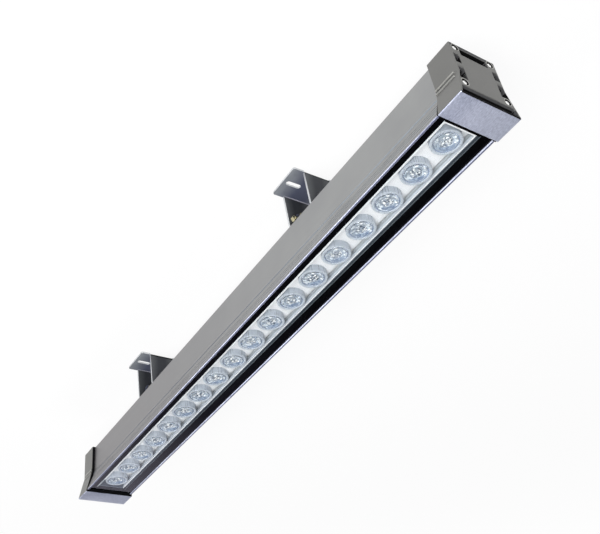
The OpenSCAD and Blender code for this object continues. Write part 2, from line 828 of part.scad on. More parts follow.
module lug(x) {
    color("#53555a") at_axis(x) difference() {
        union() {
            block([-lug_half, -lug_base_w / 2, lug_base_z], [lug_half, lug_base_w / 2, lug_base_z + lug_t]);
            for (side = [-1, 1]) {
                inner = side < 0 ? -lug_half : lug_half - lug_t;
                block([inner, -lug_arm_w / 2, 0], [inner + lug_t, lug_arm_w / 2, lug_base_z + lug_t]);
                rod_x(lug_arm_w / 2, inner, inner + lug_t);
            }
        }
        rod_x(bolt_r + pivot_room, -bracket_w, bracket_w);
        for (side = [-1, 1]) translate([side * track_screw_spacing / 2, 0, lug_base_z - cut_over])
            cylinder(r = bolt_r + screw_room, h = lug_t + 2 * cut_over);
    }
}

module track_nuts(x) {
    nut_half_w = track_w / 2 - track_nut_side_room;
    nut_z = pivot_drop + track_lip_t + slide_room;
    color("#8e9093") at_axis(x) for (side = [-1, 1]) translate([side * track_screw_spacing / 2, 0, 0])
        difference() {
            block([-track_nut_l / 2, -nut_half_w, nut_z],
                  [track_nut_l / 2, nut_half_w, nut_z + track_nut_h]);
            translate([0, 0, nut_z - cut_over])
                cylinder(r = bolt_r + screw_room, h = track_nut_h + 2 * cut_over);
        }
}

module track_screws(x) {
    tip_z = pivot_drop + track_lip_t + track_nut_h;
    color("#b9bab8") at_axis(x) for (side = [-1, 1]) translate([side * track_screw_spacing / 2, 0, 0])
        difference() {
            union() {
                translate([0, 0, lug_base_z - track_head_h]) cylinder(r = track_head_r, h = track_head_h);
                translate([0, 0, lug_base_z - track_head_h / 2])
                    cylinder(r = bolt_r, h = tip_z - lug_base_z + track_head_h / 2);
            }
            translate([0, 0, lug_base_z - track_head_h - cut_over])
                cylinder(r = track_head_r / 2, h = cut_over + track_head_h / 2, $fn = 6);
        }
}

// Distances from the bracket's middle along the pivot bolts
bolt_seat = bracket_w / 2 + washer_t;
spring_face = lug_half - lug_t;
nut_face = spring_face - spring_washer_t;

module both_arms() {
    for (side = [-1, 1]) mirror([side < 0 ? 1 : 0, 0, 0]) children();
}

module pivot_bolts(x) {
    color("#b9bab8") at_axis(x) both_arms() {
        rod_x(bolt_r, nut_face - nut_h - bolt_tail, bolt_seat + bolt_head_h / 2);
        rod_x(hex_r, bolt_seat, bolt_seat + bolt_head_h, 0, 0, 6);
    }
}

module pivot_nuts(x) {
    color("#b8ac78") at_axis(x) both_arms() difference() {
        rod_x(hex_r, nut_face - nut_h, nut_face, 0, 0, 6);
        rod_x(bolt_r + screw_room, nut_face - nut_h - cut_over, nut_face + cut_over);
    }
}

module pivot_washers(x) {
    color("#c4c5c3") at_axis(x) both_arms() difference() {
        union() {
            rod_x(washer_r, bracket_w / 2, bolt_seat);
            rod_x(spring_washer_r, nut_face, spring_face);
        }
        rod_x(bolt_r + screw_room, nut_face - cut_over, bolt_seat + cut_over);
    }
}

housing();
glass_cover();
glass_print();
glass_seal();
end_cap_left();
end_cap_right();
at_cap(-1) cap_gasket();  // cap_gasket_left
at_cap(1) cap_gasket();  // cap_gasket_right
at_cap(-1) cap_screws();  // cap_screws_left
at_cap(1) cap_screws();  // cap_screws_right
reflector_tray();
lamp_boards();
lamp_packages();
board_screws();
lens_holders();
for (i = [0 : lens_count - 1])
    lens(i);
driver();
driver_screws();
supply_lead();
board_lead();
gland_body();
gland_nut();
gland_seal();
lug(bracket_left_x);  // lug_left
lug(bracket_right_x);  // lug_right
track_screws(bracket_left_x);  // track_screws_left
track_screws(bracket_right_x);  // track_screws_right
track_nuts(bracket_left_x);  // track_nuts_left
track_nuts(bracket_right_x);  // track_nuts_right
bracket(bracket_left_x);  // bracket_left
bracket(bracket_right_x);  // bracket_right
pivot_bolts(bracket_left_x);  // pivot_bolts_left
pivot_bolts(bracket_right_x);  // pivot_bolts_right
pivot_nuts(bracket_left_x);  // pivot_nuts_left
pivot_nuts(bracket_right_x);  // pivot_nuts_right
pivot_washers(bracket_left_x);  // pivot_washers_left
pivot_washers(bracket_right_x);  // pivot_washers_right
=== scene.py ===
"""Outdoor linear wall washer light on two tilting brackets, dressed for a photograph.

Lengths in the classes are millimetres in the row frame: X along the light, Y across it,
Z from the wall faces of the feet (0) up to the front of the end caps (152).
"""

import json
import logging
import math
from dataclasses import dataclass
from enum import Enum, IntEnum
from typing import Optional, Sequence

import bpy
import bmesh
import numpy as np
from bpy.types import ID, Material, Mesh, NodeSocket, NodeTree, Object, World
from mathutils import Matrix, Vector
from mathutils.geometry import tessellate_polygon

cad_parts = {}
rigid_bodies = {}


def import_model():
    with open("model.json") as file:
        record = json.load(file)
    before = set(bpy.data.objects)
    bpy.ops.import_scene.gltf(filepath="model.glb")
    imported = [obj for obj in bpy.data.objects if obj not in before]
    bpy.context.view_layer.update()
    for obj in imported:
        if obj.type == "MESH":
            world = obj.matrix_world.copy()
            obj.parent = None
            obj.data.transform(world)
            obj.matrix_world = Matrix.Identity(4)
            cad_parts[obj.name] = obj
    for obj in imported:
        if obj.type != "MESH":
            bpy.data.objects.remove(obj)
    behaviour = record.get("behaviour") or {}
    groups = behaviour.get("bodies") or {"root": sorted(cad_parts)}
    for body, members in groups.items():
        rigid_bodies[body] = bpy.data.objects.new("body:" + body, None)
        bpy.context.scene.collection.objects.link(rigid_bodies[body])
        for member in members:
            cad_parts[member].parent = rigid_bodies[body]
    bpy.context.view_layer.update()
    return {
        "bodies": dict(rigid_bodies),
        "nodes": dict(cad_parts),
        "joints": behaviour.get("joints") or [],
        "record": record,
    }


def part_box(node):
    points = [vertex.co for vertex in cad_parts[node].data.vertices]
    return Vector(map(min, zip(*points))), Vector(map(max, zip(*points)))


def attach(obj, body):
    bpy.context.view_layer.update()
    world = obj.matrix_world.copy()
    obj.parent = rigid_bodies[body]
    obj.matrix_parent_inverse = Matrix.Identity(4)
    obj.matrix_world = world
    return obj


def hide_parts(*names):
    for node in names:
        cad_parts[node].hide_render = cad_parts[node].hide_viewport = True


log = logging.getLogger("wall_washer")
MM = 0.001
MERGE_M = 2e-6
EDGE_ANGLE = 35.0
Triple = tuple[float, float, float]
Colour = tuple[float, float, float, float]
Tones = int | np.ndarray


# ---------------------------------------------------------------- colour and node helpers


def linear(hex_colour: str) -> Colour:
    """Turns an sRGB hex colour, such as "9c9e9d", into linear red, green, blue and alpha 1.

    Args:
        hex_colour: six hex digits.
    Returns:
        Linear red, green, blue and alpha.
    """
    value = np.array([int(hex_colour[i : i + 2], 16) for i in (0, 2, 4)]) / 255.0
    low, high = value / 12.92, ((value + 0.055) / 1.055) ** 2.4
    return (*(float(v) for v in np.where(value <= 0.04045, low, high)), 1.0)


def grey(value: float) -> Colour:
    """A linear grey as four numbers."""
    return (value, value, value, 1.0)


def add(
    tree: NodeTree, kind: str, sockets: Optional[dict] = None, output: str | int = 0, **properties
) -> Optional[NodeSocket]:
    """Adds one node, sets it up and links it.

    Args:
        tree: the node tree to add to.
        kind: the node's type name, without "ShaderNode".
        sockets: input name or number to a value, or to an output socket to link from.
        output: the name or number of the output to return.
        properties: the node's own settings. stops is a list of (place, colour) for a ramp.
    Returns:
        The new node's output, if it has one.
    """
    node = tree.nodes.new("ShaderNode" + kind)
    for name, value in properties.items():
        if name == "stops":
            ramp = node.color_ramp
            while len(ramp.elements) < len(value):
                ramp.elements.new(0.5)
            for element, (place, colour) in zip(ramp.elements, value):
                element.position, element.color = place, colour
        else:
            setattr(node, name, value)
    for name, value in (sockets or {}).items():
        if isinstance(value, NodeSocket):
            tree.links.new(value, node.inputs[name])
        else:
            node.inputs[name].default_value = value
    return node.outputs[output] if node.outputs else None


def new_object(name: str, data: ID) -> Object:
    """A new object of a name with its data, linked to the scene.

    Args:
        name: the object's name.
        data: its mesh, camera or light.
    Returns:
        The new object.
    """
    made = bpy.data.objects.new(name, data)
    bpy.context.scene.collection.objects.link(made)
    return made


def empty_tree(owner: Material | World) -> NodeTree:
    """Turns on a material's or a world's nodes and removes those it starts with.

    Args:
        owner: the material or world.
    Returns:
        The node tree, empty.
    """
    owner.use_nodes = True
    owner.node_tree.nodes.clear()
    return owner.node_tree


def measured(tree: NodeTree, size_mm: float | Triple) -> NodeSocket:
    """Object coordinates counted in steps of size_mm, one for all axes or one for each.

    Args:
        tree: the material's node tree.
        size_mm: the size of a feature, one for all axes or one for each.
    Returns:
        The output that carries the coordinates.
    """
    place = add(tree, "TexCoord", output="Object")
    scale = tuple(1.0 / (MM * size) for size in np.broadcast_to(size_mm, 3))
    return add(tree, "Mapping", {"Vector": place, "Scale": scale})


# ---------------------------------------------------------------- finishes


@dataclass(frozen=True)
class Surface:
    """What every finish has: its name, and one material that is made when first asked for."""

    label: str

    def material(self) -> Material:
        """The finish as a material, whose pattern reads Object coordinates in metres.

        Returns:
            The material.
        """
        made = bpy.data.materials.get(self.label)
        if made is None:
            made = bpy.data.materials.new(self.label)
            tree = empty_tree(made)
            add(tree, "OutputMaterial", {"Surface": self.surface(tree)})
        return made


@dataclass(frozen=True)
class Finish(Surface):
    """A surface finish: a colour that wanders a little over a grain, with bump and roughness."""

    colour: str
    other_colour: str
    roughness: float
    metallic: float = 0.0
    grain_mm: float | Triple = 1.0
    bump_mm: float = 0.02
    swing: float = 0.06
    wander_mm: float = 60.0
    noise_roughness: float = 0.6
    ior: float = 1.5
    coat: float = 0.0
    transmission: float = 0.0
    lets_light_in: bool = False

    def surface(self, tree: NodeTree) -> NodeSocket:
        """The shader. Where it lets light in, lamps shine through onto what lies behind.

        Args:
            tree: the material's node tree.
        Returns:
            The shader's output.
        """
        shader = self.shader(tree)
        if self.lets_light_in:
            shadow = add(tree, "LightPath", output="Is Shadow Ray")
            clear = add(tree, "BsdfTransparent", {"Color": linear(self.colour)})
            shader = add(tree, "MixShader", {0: shadow, 1: shader, 2: clear})
        return shader

    def shader(self, tree: NodeTree) -> NodeSocket:
        """Adds the shading nodes: grain moves colour, roughness and bump, a patch the colour.

        Args:
            tree: the material's node tree.
        Returns:
            The shader's output.
        """
        grain = self.grain(tree)
        place = add(tree, "TexCoord", output="Object")
        scale = 1.0 / (MM * self.wander_mm)
        patch = add(tree, "TexNoise", {"Vector": place, "Scale": scale, "Detail": 2.0})
        both = add(tree, "Math", {0: grain, 1: patch}, operation="ADD")
        mean = add(tree, "Math", {0: both, 1: 0.5}, operation="MULTIPLY")
        stops = [(0.36, linear(self.other_colour)), (0.62, linear(self.colour))]
        colour = add(tree, "ValToRGB", {"Fac": mean}, stops=stops)
        low, high = max(0.02, self.roughness - self.swing), self.roughness + self.swing
        span = {"Value": grain, "From Min": 0.3, "From Max": 0.7, "To Min": low, "To Max": high}
        rough = add(tree, "MapRange", span)
        relief = {"Height": grain, "Strength": 1.0, "Distance": self.bump_mm * MM}
        normal = add(tree, "Bump", relief)
        sockets = {
            "Base Color": colour, "Roughness": rough, "Normal": normal, "Metallic": self.metallic,
        }
        if self.metallic < 1.0:
            sockets["IOR"] = self.ior
        if self.coat:
            sockets["Coat Weight"] = self.coat
            sockets["Coat Roughness"] = 0.08
        if self.transmission:
            sockets["Transmission Weight"] = self.transmission
        return add(tree, "BsdfPrincipled", sockets)

    def noise(self, tree: NodeTree, size_mm: float | Triple) -> NodeSocket:
        """Noise whose features are size_mm long, as a value about 0.5.

        Args:
            tree: the material's node tree.
            size_mm: the size of a feature, one for all axes or one for each.
        Returns:
            The noise's output.
        """
        sockets = {
            "Vector": measured(tree, size_mm), "Scale": 1.0, "Detail": 3.0,
            "Roughness": self.noise_roughness,
        }
        return add(tree, "TexNoise", sockets)

    def grain(self, tree: NodeTree) -> NodeSocket:
        """The finish's grain: noise of its own size."""
        return self.noise(tree, self.grain_mm)


@dataclass(frozen=True)
class BrushedFinish(Finish):
    """A machined face: long brush lines one way with a few fainter ones across them."""

    noise_roughness: float = 0.65
    cross_mm: Triple = (0.8, 9.0, 9.0)
    cross_share: float = 0.15

    def grain(self, tree: NodeTree) -> NodeSocket:
        """Two stretched noises, one along and cross_share of one across.

        Args:
            tree: the material's node tree.
        Returns:
            The noise's output.
        """
        along, across = self.noise(tree, self.grain_mm), self.noise(tree, self.cross_mm)
        sockets = {"Factor": self.cross_share, "A": along, "B": across}
        return add(tree, "Mix", sockets)


@dataclass(frozen=True)
class ShadeRampFinish(Finish):
    """A finish with painted shade: darker colours, each fading in along an axis."""

    # Each ramp of painted shade: its axis, where it starts and where it is full in mm, and its
    # colour. It lies on both sides of the axis's 0; with a plus before the axis it runs along it
    # once
    shade_ramps: tuple[tuple[str, float, float, str], ...] = ()

    def shader(self, tree: NodeTree) -> NodeSocket:
        """Mixes each painted shade's colour over the plain finish by the coordinate or its size.

        Args:
            tree: the material's node tree.
        Returns:
            The shader's output.
        """
        output = super().shader(tree)
        base = output.node.inputs["Base Color"]
        place = add(tree, "TexCoord", output="Object")
        parts = add(tree, "SeparateXYZ", {0: place}).node.outputs
        for axis, start, full, colour in self.shade_ramps:
            far = parts[axis[-1]]
            if not axis.startswith("+"):
                far = add(tree, "Math", {0: far}, operation="ABSOLUTE")
            span = {"Value": far, "From Min": start * MM, "From Max": full * MM}
            share = add(tree, "MapRange", span)
            sockets = {"Fac": share, "Color1": base.links[0].from_socket, "Color2": linear(colour)}
            tree.links.new(add(tree, "MixRGB", sockets), base)
        return output


@dataclass(frozen=True)
class FacetedFinish(Finish):
    """A clear surface cut in small flat facets, each tilted, with a painted reflection of its own.
    """

    tilt: float = 0.55
    dark: str = "77828f"
    light: str = "ffffff"

    def shader(self, tree: NodeTree) -> NodeSocket:
        """Scattered cells: each turns the normal by tilt times its own random vector.

        Args:
            tree: the material's node tree.
        Returns:
            The shader's output.
        """
        place = measured(tree, self.grain_mm)
        cell = add(tree, "TexVoronoi", {"Vector": place, "Scale": 1.0}, "Color")
        lean = add(tree, "VectorMath", {0: cell, 1: (0.5, 0.5, 0.5)}, operation="SUBTRACT")
        sockets = {0: lean, "Scale": 2.0 * self.tilt}
        lean = add(tree, "VectorMath", sockets, operation="SCALE")
        flat = add(tree, "NewGeometry", output="Normal")
        turned = add(tree, "VectorMath", {0: flat, 1: lean}, operation="ADD")
        normal = add(tree, "VectorMath", {0: turned}, operation="NORMALIZE")
        shade = add(tree, "SeparateColor", {0: cell})
        tints = [
            (0.14, linear(self.dark)), (0.24, linear(self.other_colour)),
            (0.72, linear(self.colour)), (0.8, linear(self.light)),
        ]
        # The lightest and the darkest facets are painted reflections of white and black walls:
        # nothing shows through
        clear = grey(self.transmission)
        shares = [(0.15, grey(0.0)), (0.25, clear), (0.72, clear), (0.8, grey(0.0))]
        sockets = {
            "Base Color": add(tree, "ValToRGB", {"Fac": shade}, stops=tints),
            "Transmission Weight": add(tree, "ValToRGB", {"Fac": shade}, stops=shares),
            "Roughness": self.roughness, "Normal": normal, "IOR": self.ior,
        }
        return add(tree, "BsdfPrincipled", sockets)


@dataclass(frozen=True)
class ClearGlass(Surface):
    """Toughened float glass: what lies behind shows, and the surface mirrors more at a slant."""

    label: str = "toughened float glass"
    tint: str = "fdfefe"
    gloss: str = "ffffff"

    def surface(self, tree: NodeTree) -> NodeSocket:
        """A thin clear sheet: a see-through shader and a mirror, mixed by Fresnel.

        Args:
            tree: the material's node tree.
        Returns:
            The shader's output.
        """
        through = add(tree, "BsdfTransparent", {"Color": linear(self.tint)})
        # Roller waves of toughened glass, about 180 mm long: they show only in the mirror image
        place = add(tree, "TexCoord", output="Object")
        waves = add(tree, "TexNoise", {"Vector": place, "Scale": 5.5, "Detail": 1.0})
        relief = {"Height": waves, "Strength": 1.0, "Distance": 0.4 * MM}
        normal = add(tree, "Bump", relief)
        sockets = {"Color": linear(self.gloss), "Roughness": 0.015, "Normal": normal}
        mirror = add(tree, "BsdfGlossy", sockets)
        # Only the face towards the light and the eye mirrors; leaving the sheet costs nothing
        fresnel = add(tree, "Fresnel", {"IOR": 1.5})
        inside = add(tree, "NewGeometry", output="Backfacing")
        outer = add(tree, "Math", {0: 1.0, 1: inside}, operation="SUBTRACT")
        share = add(tree, "Math", {0: fresnel, 1: outer}, operation="MULTIPLY")
        return add(tree, "MixShader", {0: share, 1: through, 2: mirror})


@dataclass(frozen=True)
class FloorPaint(Surface):
    """White floor paint that eye, mirrors and glass see pale, and that keeps shadows."""

    label: str = "white floor paint"
    # Its glow near the light, where 1 is the white of the far floor
    near: float = 0.86

    def surface(self, tree: NodeTree) -> NodeSocket:
        """Mixes a glow into plain paint for rays from the eye, a mirror or glass.

        Args:
            tree: the material's node tree.
        Returns:
            The shader's output.
        """
        place = add(tree, "TexCoord", output="Object")
        far = add(tree, "VectorMath", {0: place}, "Value", operation="LENGTH")
        span = {"Value": far, "From Min": 0.5, "From Max": 2.2, "To Min": self.near, "To Max": 1.0}
        glow = add(tree, "MapRange", span, interpolation_type="SMOOTHSTEP")
        path = add(tree, "LightPath").node.outputs
        seen = path["Is Camera Ray"]
        for ray in ("Is Glossy Ray", "Is Transmission Ray"):
            seen = add(tree, "Math", {0: seen, 1: path[ray]}, operation="MAXIMUM")
        share = add(tree, "Math", {0: seen, 1: glow}, operation="MULTIPLY")
        paint = add(tree, "BsdfDiffuse", {"Color": grey(0.85)})
        light = add(tree, "Emission", {"Color": grey(1.0), "Strength": 1.0})
        return add(tree, "MixShader", {0: share, 1: paint, 2: light})


@dataclass(frozen=True)
class Finishes:
    """Every finish of the light, named for what the real surface is or for the light and shade
    painted on it.

    The numbers after a finish's two colours are its roughness, how metallic it is, and the size
    and height of its grain in millimetres.
    """

    # Extruded aluminium, etched and anodised silver: satin, with hair lines along the die's run,
    # and painted shade that darkens it towards the +X end
    body: Finish = ShadeRampFinish(
        "anodised aluminium extrusion", "a0a1a1", "98999a", 0.36, 1.0, (160.0, 0.9, 0.9), 0.012,
        swing=0.05, shade_ramps=(("+X", -250.0, 460.0, "848284"),),
    )
    # Die-cast aluminium, shot blasted and clear lacquered: darker and duller, a fine even grain
    cast: Finish = Finish("die-cast aluminium", "7f7f7d", "777775", 0.46, 0.9, 0.9)
    # The cap's end face: the casting painted a little darker, as painted shade
    face: Finish = Finish("die-cast end face", "757573", "6d6d6b", 0.46, 0.9, 0.9)
    # The same casting in its recesses, its bores and over the slot: painted shade, nearly black
    cored: Finish = Finish("cored casting skin", "0b0b0c", "070708", 0.75, 0.0, 0.8, 0.04, ior=1.2)
    # The brim of those recesses and the strip at the back: painted shade, between the two
    brim_painted_shade: Finish = Finish("shaded casting skin", "4b4b4c", "3b3b3d", 0.65, 0.0, 0.8, 0.03, ior=1.3)
    # The crests of the cap's beads and the rims of its bores: the same casting painted lighter, a
    # painted highlight
    rubbed: Finish = Finish(
        "rubbed casting crest", "b9b9b4", "a5a59f", 0.3, 1.0, (6.0, 0.8, 0.8), 0.01
    )
    # The cap's front and the lips, linished on a belt along the light: bright, with a bluish
    # painted reflection
    brushed_painted_sheen: Finish = BrushedFinish(
        "linished aluminium", "ccd1e2", "8a8fa5", 0.34, 0.75, (4.0, 1.3, 1.3), 0.01, swing=0.03,
        wander_mm=70.0,
    )
    # The flat of the lips: a painted reflection, darker and bluer than the cap's front
    scuffed: Finish = Finish(
        "scuffed aluminium lip", "7c7f9a", "6a6d86", 0.36, 0.85, (30.0, 0.8, 0.8), 0.01
    )
    # The step of the housing's flare and the floors of its fine grooves: a blue-grey painted
    # reflection, darkened towards the +X end by painted shade
    step: Finish = ShadeRampFinish(
        "blue-grey anodised step", "99a3ad", "8a949e", 0.5, 0.8, (60.0, 0.8, 0.8), 0.01,
        shade_ramps=(("+X", -380.0, 0.0, "656b73"),),
    )
    # Screen print fired on the back of the glass: black and glossy
    printed: Finish = Finish(
        "black ceramic print", "060608", "040406", 0.5, 0.0, 0.6, 0.002, ior=1.05
    )
    # Slate grey painted shade: along the chamber's wall under the glass, and on parts of the tray
    # and of the window's line
    sealant: Finish = Finish(
        "slate glazing sealant", "59616b", "4e565f", 0.45, 0.0, (30.0, 1.5, 1.5), 0.05
    )
    # Extruded EPDM: nearly black, matte
    rubber: Finish = Finish("epdm rubber", "0e0e11", "08080a", 0.75, 0.0, 0.8, ior=1.12)
    # Stainless screws, turned and polished: bright
    steel: Finish = Finish("stainless steel", "f0f0ed", "dededa", 0.2, 1.0, 0.6, 0.004)
    # Heads of the cap screws, turned and tumbled: mirror the white floor
    tumbled: Finish = Finish(
        "tumbled stainless head", "ffffff", "f4f4f2", 0.12, 1.0, 0.6, 0.002, swing=0.03
    )
    # Pivot bolts and washers, blackened: dark grey metal
    blackened: Finish = Finish(
        "blackened steel hardware", "54565a", "484a4e", 0.42, 0.7, 0.8, 0.006
    )
    # Lens holder's bore, painted blue slate so that the lenses show a dark crescent: a painted
    # reflection
    tinted: Finish = Finish("slate tinted polycarbonate", "66768f", "536279", 0.3, 0.0, 2.0)
    # The tray's corrugated wall: the white of the tray painted in two greys of painted shade
    hollow: Finish = Finish(
        "shade_painted coated hollow", "adb2b6", "9ca1a6", 0.4, 0.0, (20.0, 2.0, 2.0), 0.01
    )
    crest: Finish = Finish(
        "shade_painted coated crest", "c9ced6", "bdc3cc", 0.35, 0.0, (20.0, 2.0, 2.0), 0.01
    )
    # White polycarbonate reflector, moulded with a polished tool: white, soft shine
    reflector: Finish = Finish(
        "white polycarbonate", "f4f3f4", "ededef", 0.32, 0.0, 3.0, 0.004, ior=1.58
    )
    # Glass-epoxy board under white solder mask
    board: Finish = Finish("white solder mask", "eceee9", "e2e5df", 0.4, 0.0, 1.0, 0.005)
    # Lamp package: silicone dome over yellow phosphor
    phosphor: Finish = Finish(
        "phosphor under silicone", "f4efd4", "e8e1bf", 0.15, 0.0, 0.5, 0.004, coat=0.8
    )
    # Lens holder, moulded in natural polycarbonate with a sparked tool: frosted and bluish
    frosted: Finish = Finish(
        "frosted polycarbonate", "d5dce5", "ccd3de", 0.3, 0.0, (1.6, 1.6, 40.0), 0.04, ior=1.58,
        transmission=0.3,
    )
    # Collimating lens, moulded in PMMA: water clear
    acrylic: Finish = Finish(
        "clear acrylic", "eef2f8", "e6ebf3", 0.04, 0.0, 6.0, 0.002, swing=0.01, ior=1.49,
        transmission=0.9, lets_light_in=True,
    )
    # The lens's dome: the same clear acrylic cut in facets 1.9 mm wide, which sparkle with painted
    # reflections
    faceted: Finish = FacetedFinish(
        "faceted clear acrylic", "d0d5db", "a4adba", 0.05, 0.0, 1.9, ior=1.49, transmission=0.6,
        lets_light_in=True, dark="4d5866",
    )
    # The lens's annulus over its cone, in broad facets with painted reflections of the cone's dark
    # outside
    prismatic: Finish = FacetedFinish(
        "prismatic clear acrylic", "c6ced7", "b0bac5", 0.08, 0.0, 2.8, ior=1.49, transmission=0.45,
        lets_light_in=True, tilt=0.2, dark="8e99a6", light="dae1e8",
    )
    # A slate crescent painted on the annulus: a painted reflection
    crescent: Finish = FacetedFinish(
        "slate mirrored in acrylic", "8996ab", "7c8aa0", 0.1, 0.0, 2.2, ior=1.49, transmission=0.2,
        lets_light_in=True, tilt=0.12, dark="66768f", light="97a5b8",
    )
    # Spots painted white where the lamp would glint: painted highlights
    glint: Finish = Finish(
        "lamp mirrored in acrylic", "ffffff", "fbfbfb", 0.1, 0.0, 3.0, 0.002, coat=0.5
    )
    # Spots painted dark where the lamp package would show: painted reflections
    speck: Finish = Finish("dark package in acrylic", "3d4552", "323a46", 0.1, 0.0, 3.0, 0.002)
    # A thin wedge along the print's inner edge, milky white: a painted highlight of that edge
    silicone: Finish = Finish(
        "clear silicone skirt", "e8edf0", "dfe5e9", 0.3, 0.0, (3.0, 1.0, 1.0), ior=1.42
    )
    # Driver case, powder-coated steel: off-white, orange-peel skin
    case: Finish = Finish("off-white powder coat", "d8d8d4", "cfcfca", 0.45, 0.0, 1.5)
    # Extruded rubber and silicone round the leads: satin
    sheath: Finish = Finish(
        "black cable sheath", "1c1c1d", "151516", 0.5, 0.0, (2.0, 1.0, 1.0), 0.01
    )
    silicone_lead: Finish = Finish(
        "red silicone insulation", "b02a20", "a0241b", 0.45, 0.0, (2.0, 1.0, 1.0), 0.01
    )
    # Gland of nickel-plated brass: warm white metal
    nickel: Finish = Finish("nickel-plated brass", "bcbab2", "aaa8a0", 0.25, 1.0, 0.7, 0.005)
    # Zinc-plated steel nuts in the track
    zinc: Finish = Finish("zinc-plated steel", "9a9ca0", "8a8c90", 0.35, 1.0, 1.0, 0.01)
    # Hot-rolled steel under its thin blue-black oxide, oiled: dark with a soft shine, darkened
    # towards the middle under the housing by painted shade
    sheet: Finish = ShadeRampFinish(
        "oiled steel sheet", "868a8f", "73777c", 0.42, 0.1, (14.0, 14.0, 0.9), 0.012, ior=1.25,
        shade_ramps=(("Y", 34.0, 10.0, "4c5060"),),
    )
    # The bracket's arms, painted darker as painted shade: nearly black towards the middle and the
    # foot
    arm: Finish = ShadeRampFinish(
        "thick oxide on steel", "5c5e60", "4c4e50", 0.45, 0.05, (14.0, 14.0, 0.9), 0.012, ior=1.22,
        shade_ramps=(("Y", 22.0, 6.0, "303236"), ("Z", 4.6, 3.8, "08080a")),
    )
    # Inside of a fold: painted lighter and lilac, a painted highlight
    fold: Finish = Finish("cracked oxide in a fold", "a6a6b2", "84848f", 0.35, 0.3, 3.0)
    # Outside of a fold and on the flanks of the screw heads: painted shade, nearly black
    oxide: Finish = Finish("oiled black oxide", "1b1c1e", "121314", 0.6, 0.0, 3.0, 0.01, ior=1.08)
    # Laser-cut edges of the same sheet: bright and ribbed
    cut_edge: Finish = Finish(
        "laser-cut steel edge", "d0d2d4", "bcbec1", 0.45, 0.7, (0.8, 0.8, 3.0)
    )
    # Brass nuts, dull from handling
    brass: Finish = Finish("brass", "cfc9ac", "b3ab86", 0.26, 1.0, 1.0, 0.008)
    glass: Surface = ClearGlass()


# ---------------------------------------------------------------- surfaces


class Axis(Enum):
    """The axis that a turned piece goes round."""

    X = "x"
    Z = "z"


def rounded(outline: Sequence[Sequence[float]], steps: int = 3) -> np.ndarray:
    """Rounds the corners of a closed outline.

    Each corner P with sides towards its neighbours becomes the curve
    (1 - s)^2 A + 2 s (1 - s) P + s^2 C, where A and C lie the corner's radius from P.

    Args:
        outline: corners as [first, second, radius], in order.
        steps: pieces that make up each corner.
    Returns:
        Points of the rounded outline, as an (n, 2) array.
    """
    corners = np.asarray(outline, dtype=float)
    point, reach = corners[:, :2], corners[:, 2]
    before, after = np.roll(point, 1, axis=0) - point, np.roll(point, -1, axis=0) - point
    long_before = np.linalg.norm(before, axis=1)
    long_after = np.linalg.norm(after, axis=1)
    reach = np.minimum(reach, 0.48 * np.minimum(long_before, long_after))
    start = point + before * (reach / long_before)[:, None]
    end = point + after * (reach / long_after)[:, None]
    s = np.linspace(0.0, 1.0, steps + 1)[None, :, None]
    curve = (1 - s) ** 2 * start[:, None] + 2 * s * (1 - s) * point[:, None] + s**2 * end[:, None]
    return curve.reshape(-1, 2)


def mirrored(half: Sequence[Sequence[float]]) -> np.ndarray:
    """Rows of Y, Z, radius for Y > 0, followed by their mirror images in reverse order."""
    right = np.asarray(half, dtype=float)
    return np.concatenate([right, right[::-1] * np.array([-1.0, 1.0, 1.0])])


def ring(radius: float, sides: int, middle: Sequence[float] = (0.0, 0.0)) -> np.ndarray:
    """Points of a circle, middle + radius (cos t, sin t), anticlockwise."""
    turn = np.linspace(0.0, 2.0 * np.pi, sides, endpoint=False)
    return np.stack([middle[0] + radius * np.cos(turn), middle[1] + radius * np.sin(turn)], axis=1)


def rectangle(half_x: float, half_y: float) -> np.ndarray:
    """Corners (+-half_x, +-half_y), anticlockwise from the lowest."""
    return np.array([[-1.0, -1.0], [1.0, -1.0], [1.0, 1.0], [-1.0, 1.0]]) * [half_x, half_y]


def side_middles(loop: np.ndarray) -> np.ndarray:
    """The middle of each side of a closed loop of points."""
    return 0.5 * (loop + np.roll(loop, -1, axis=0))


def cell_means(grid: np.ndarray) -> np.ndarray:
    """The mean of the four corners of each cell of a grid of numbers."""
    return 0.25 * (grid[:-1, :-1] + grid[:-1, 1:] + grid[1:, :-1] + grid[1:, 1:])


def smooth_step(value: np.ndarray, low: float | np.ndarray, high: float | np.ndarray) -> np.ndarray:
    """0 below low and 1 above high, with t^2 (3 - 2 t) between them."""
    t = np.clip((value - low) / (high - low), 0.0, 1.0)
    return t * t * (3.0 - 2.0 * t)


def merge(source: Mesh, target: Mesh, flatten: bool) -> None:
    """Writes a mesh with its doubles merged, and if asked its flats dissolved, into another.

    Args:
        source: the mesh to read.
        target: the mesh to write, which may be the same.
        flatten: True to dissolve the edges inside flats.
    """
    work = bmesh.new()
    work.from_mesh(source)
    bmesh.ops.remove_doubles(work, verts=work.verts, dist=MERGE_M)
    if flatten:
        flat = math.radians(1.5)
        bmesh.ops.dissolve_limit(work, angle_limit=flat, verts=work.verts, edges=work.edges)
    work.to_mesh(target)
    work.free()


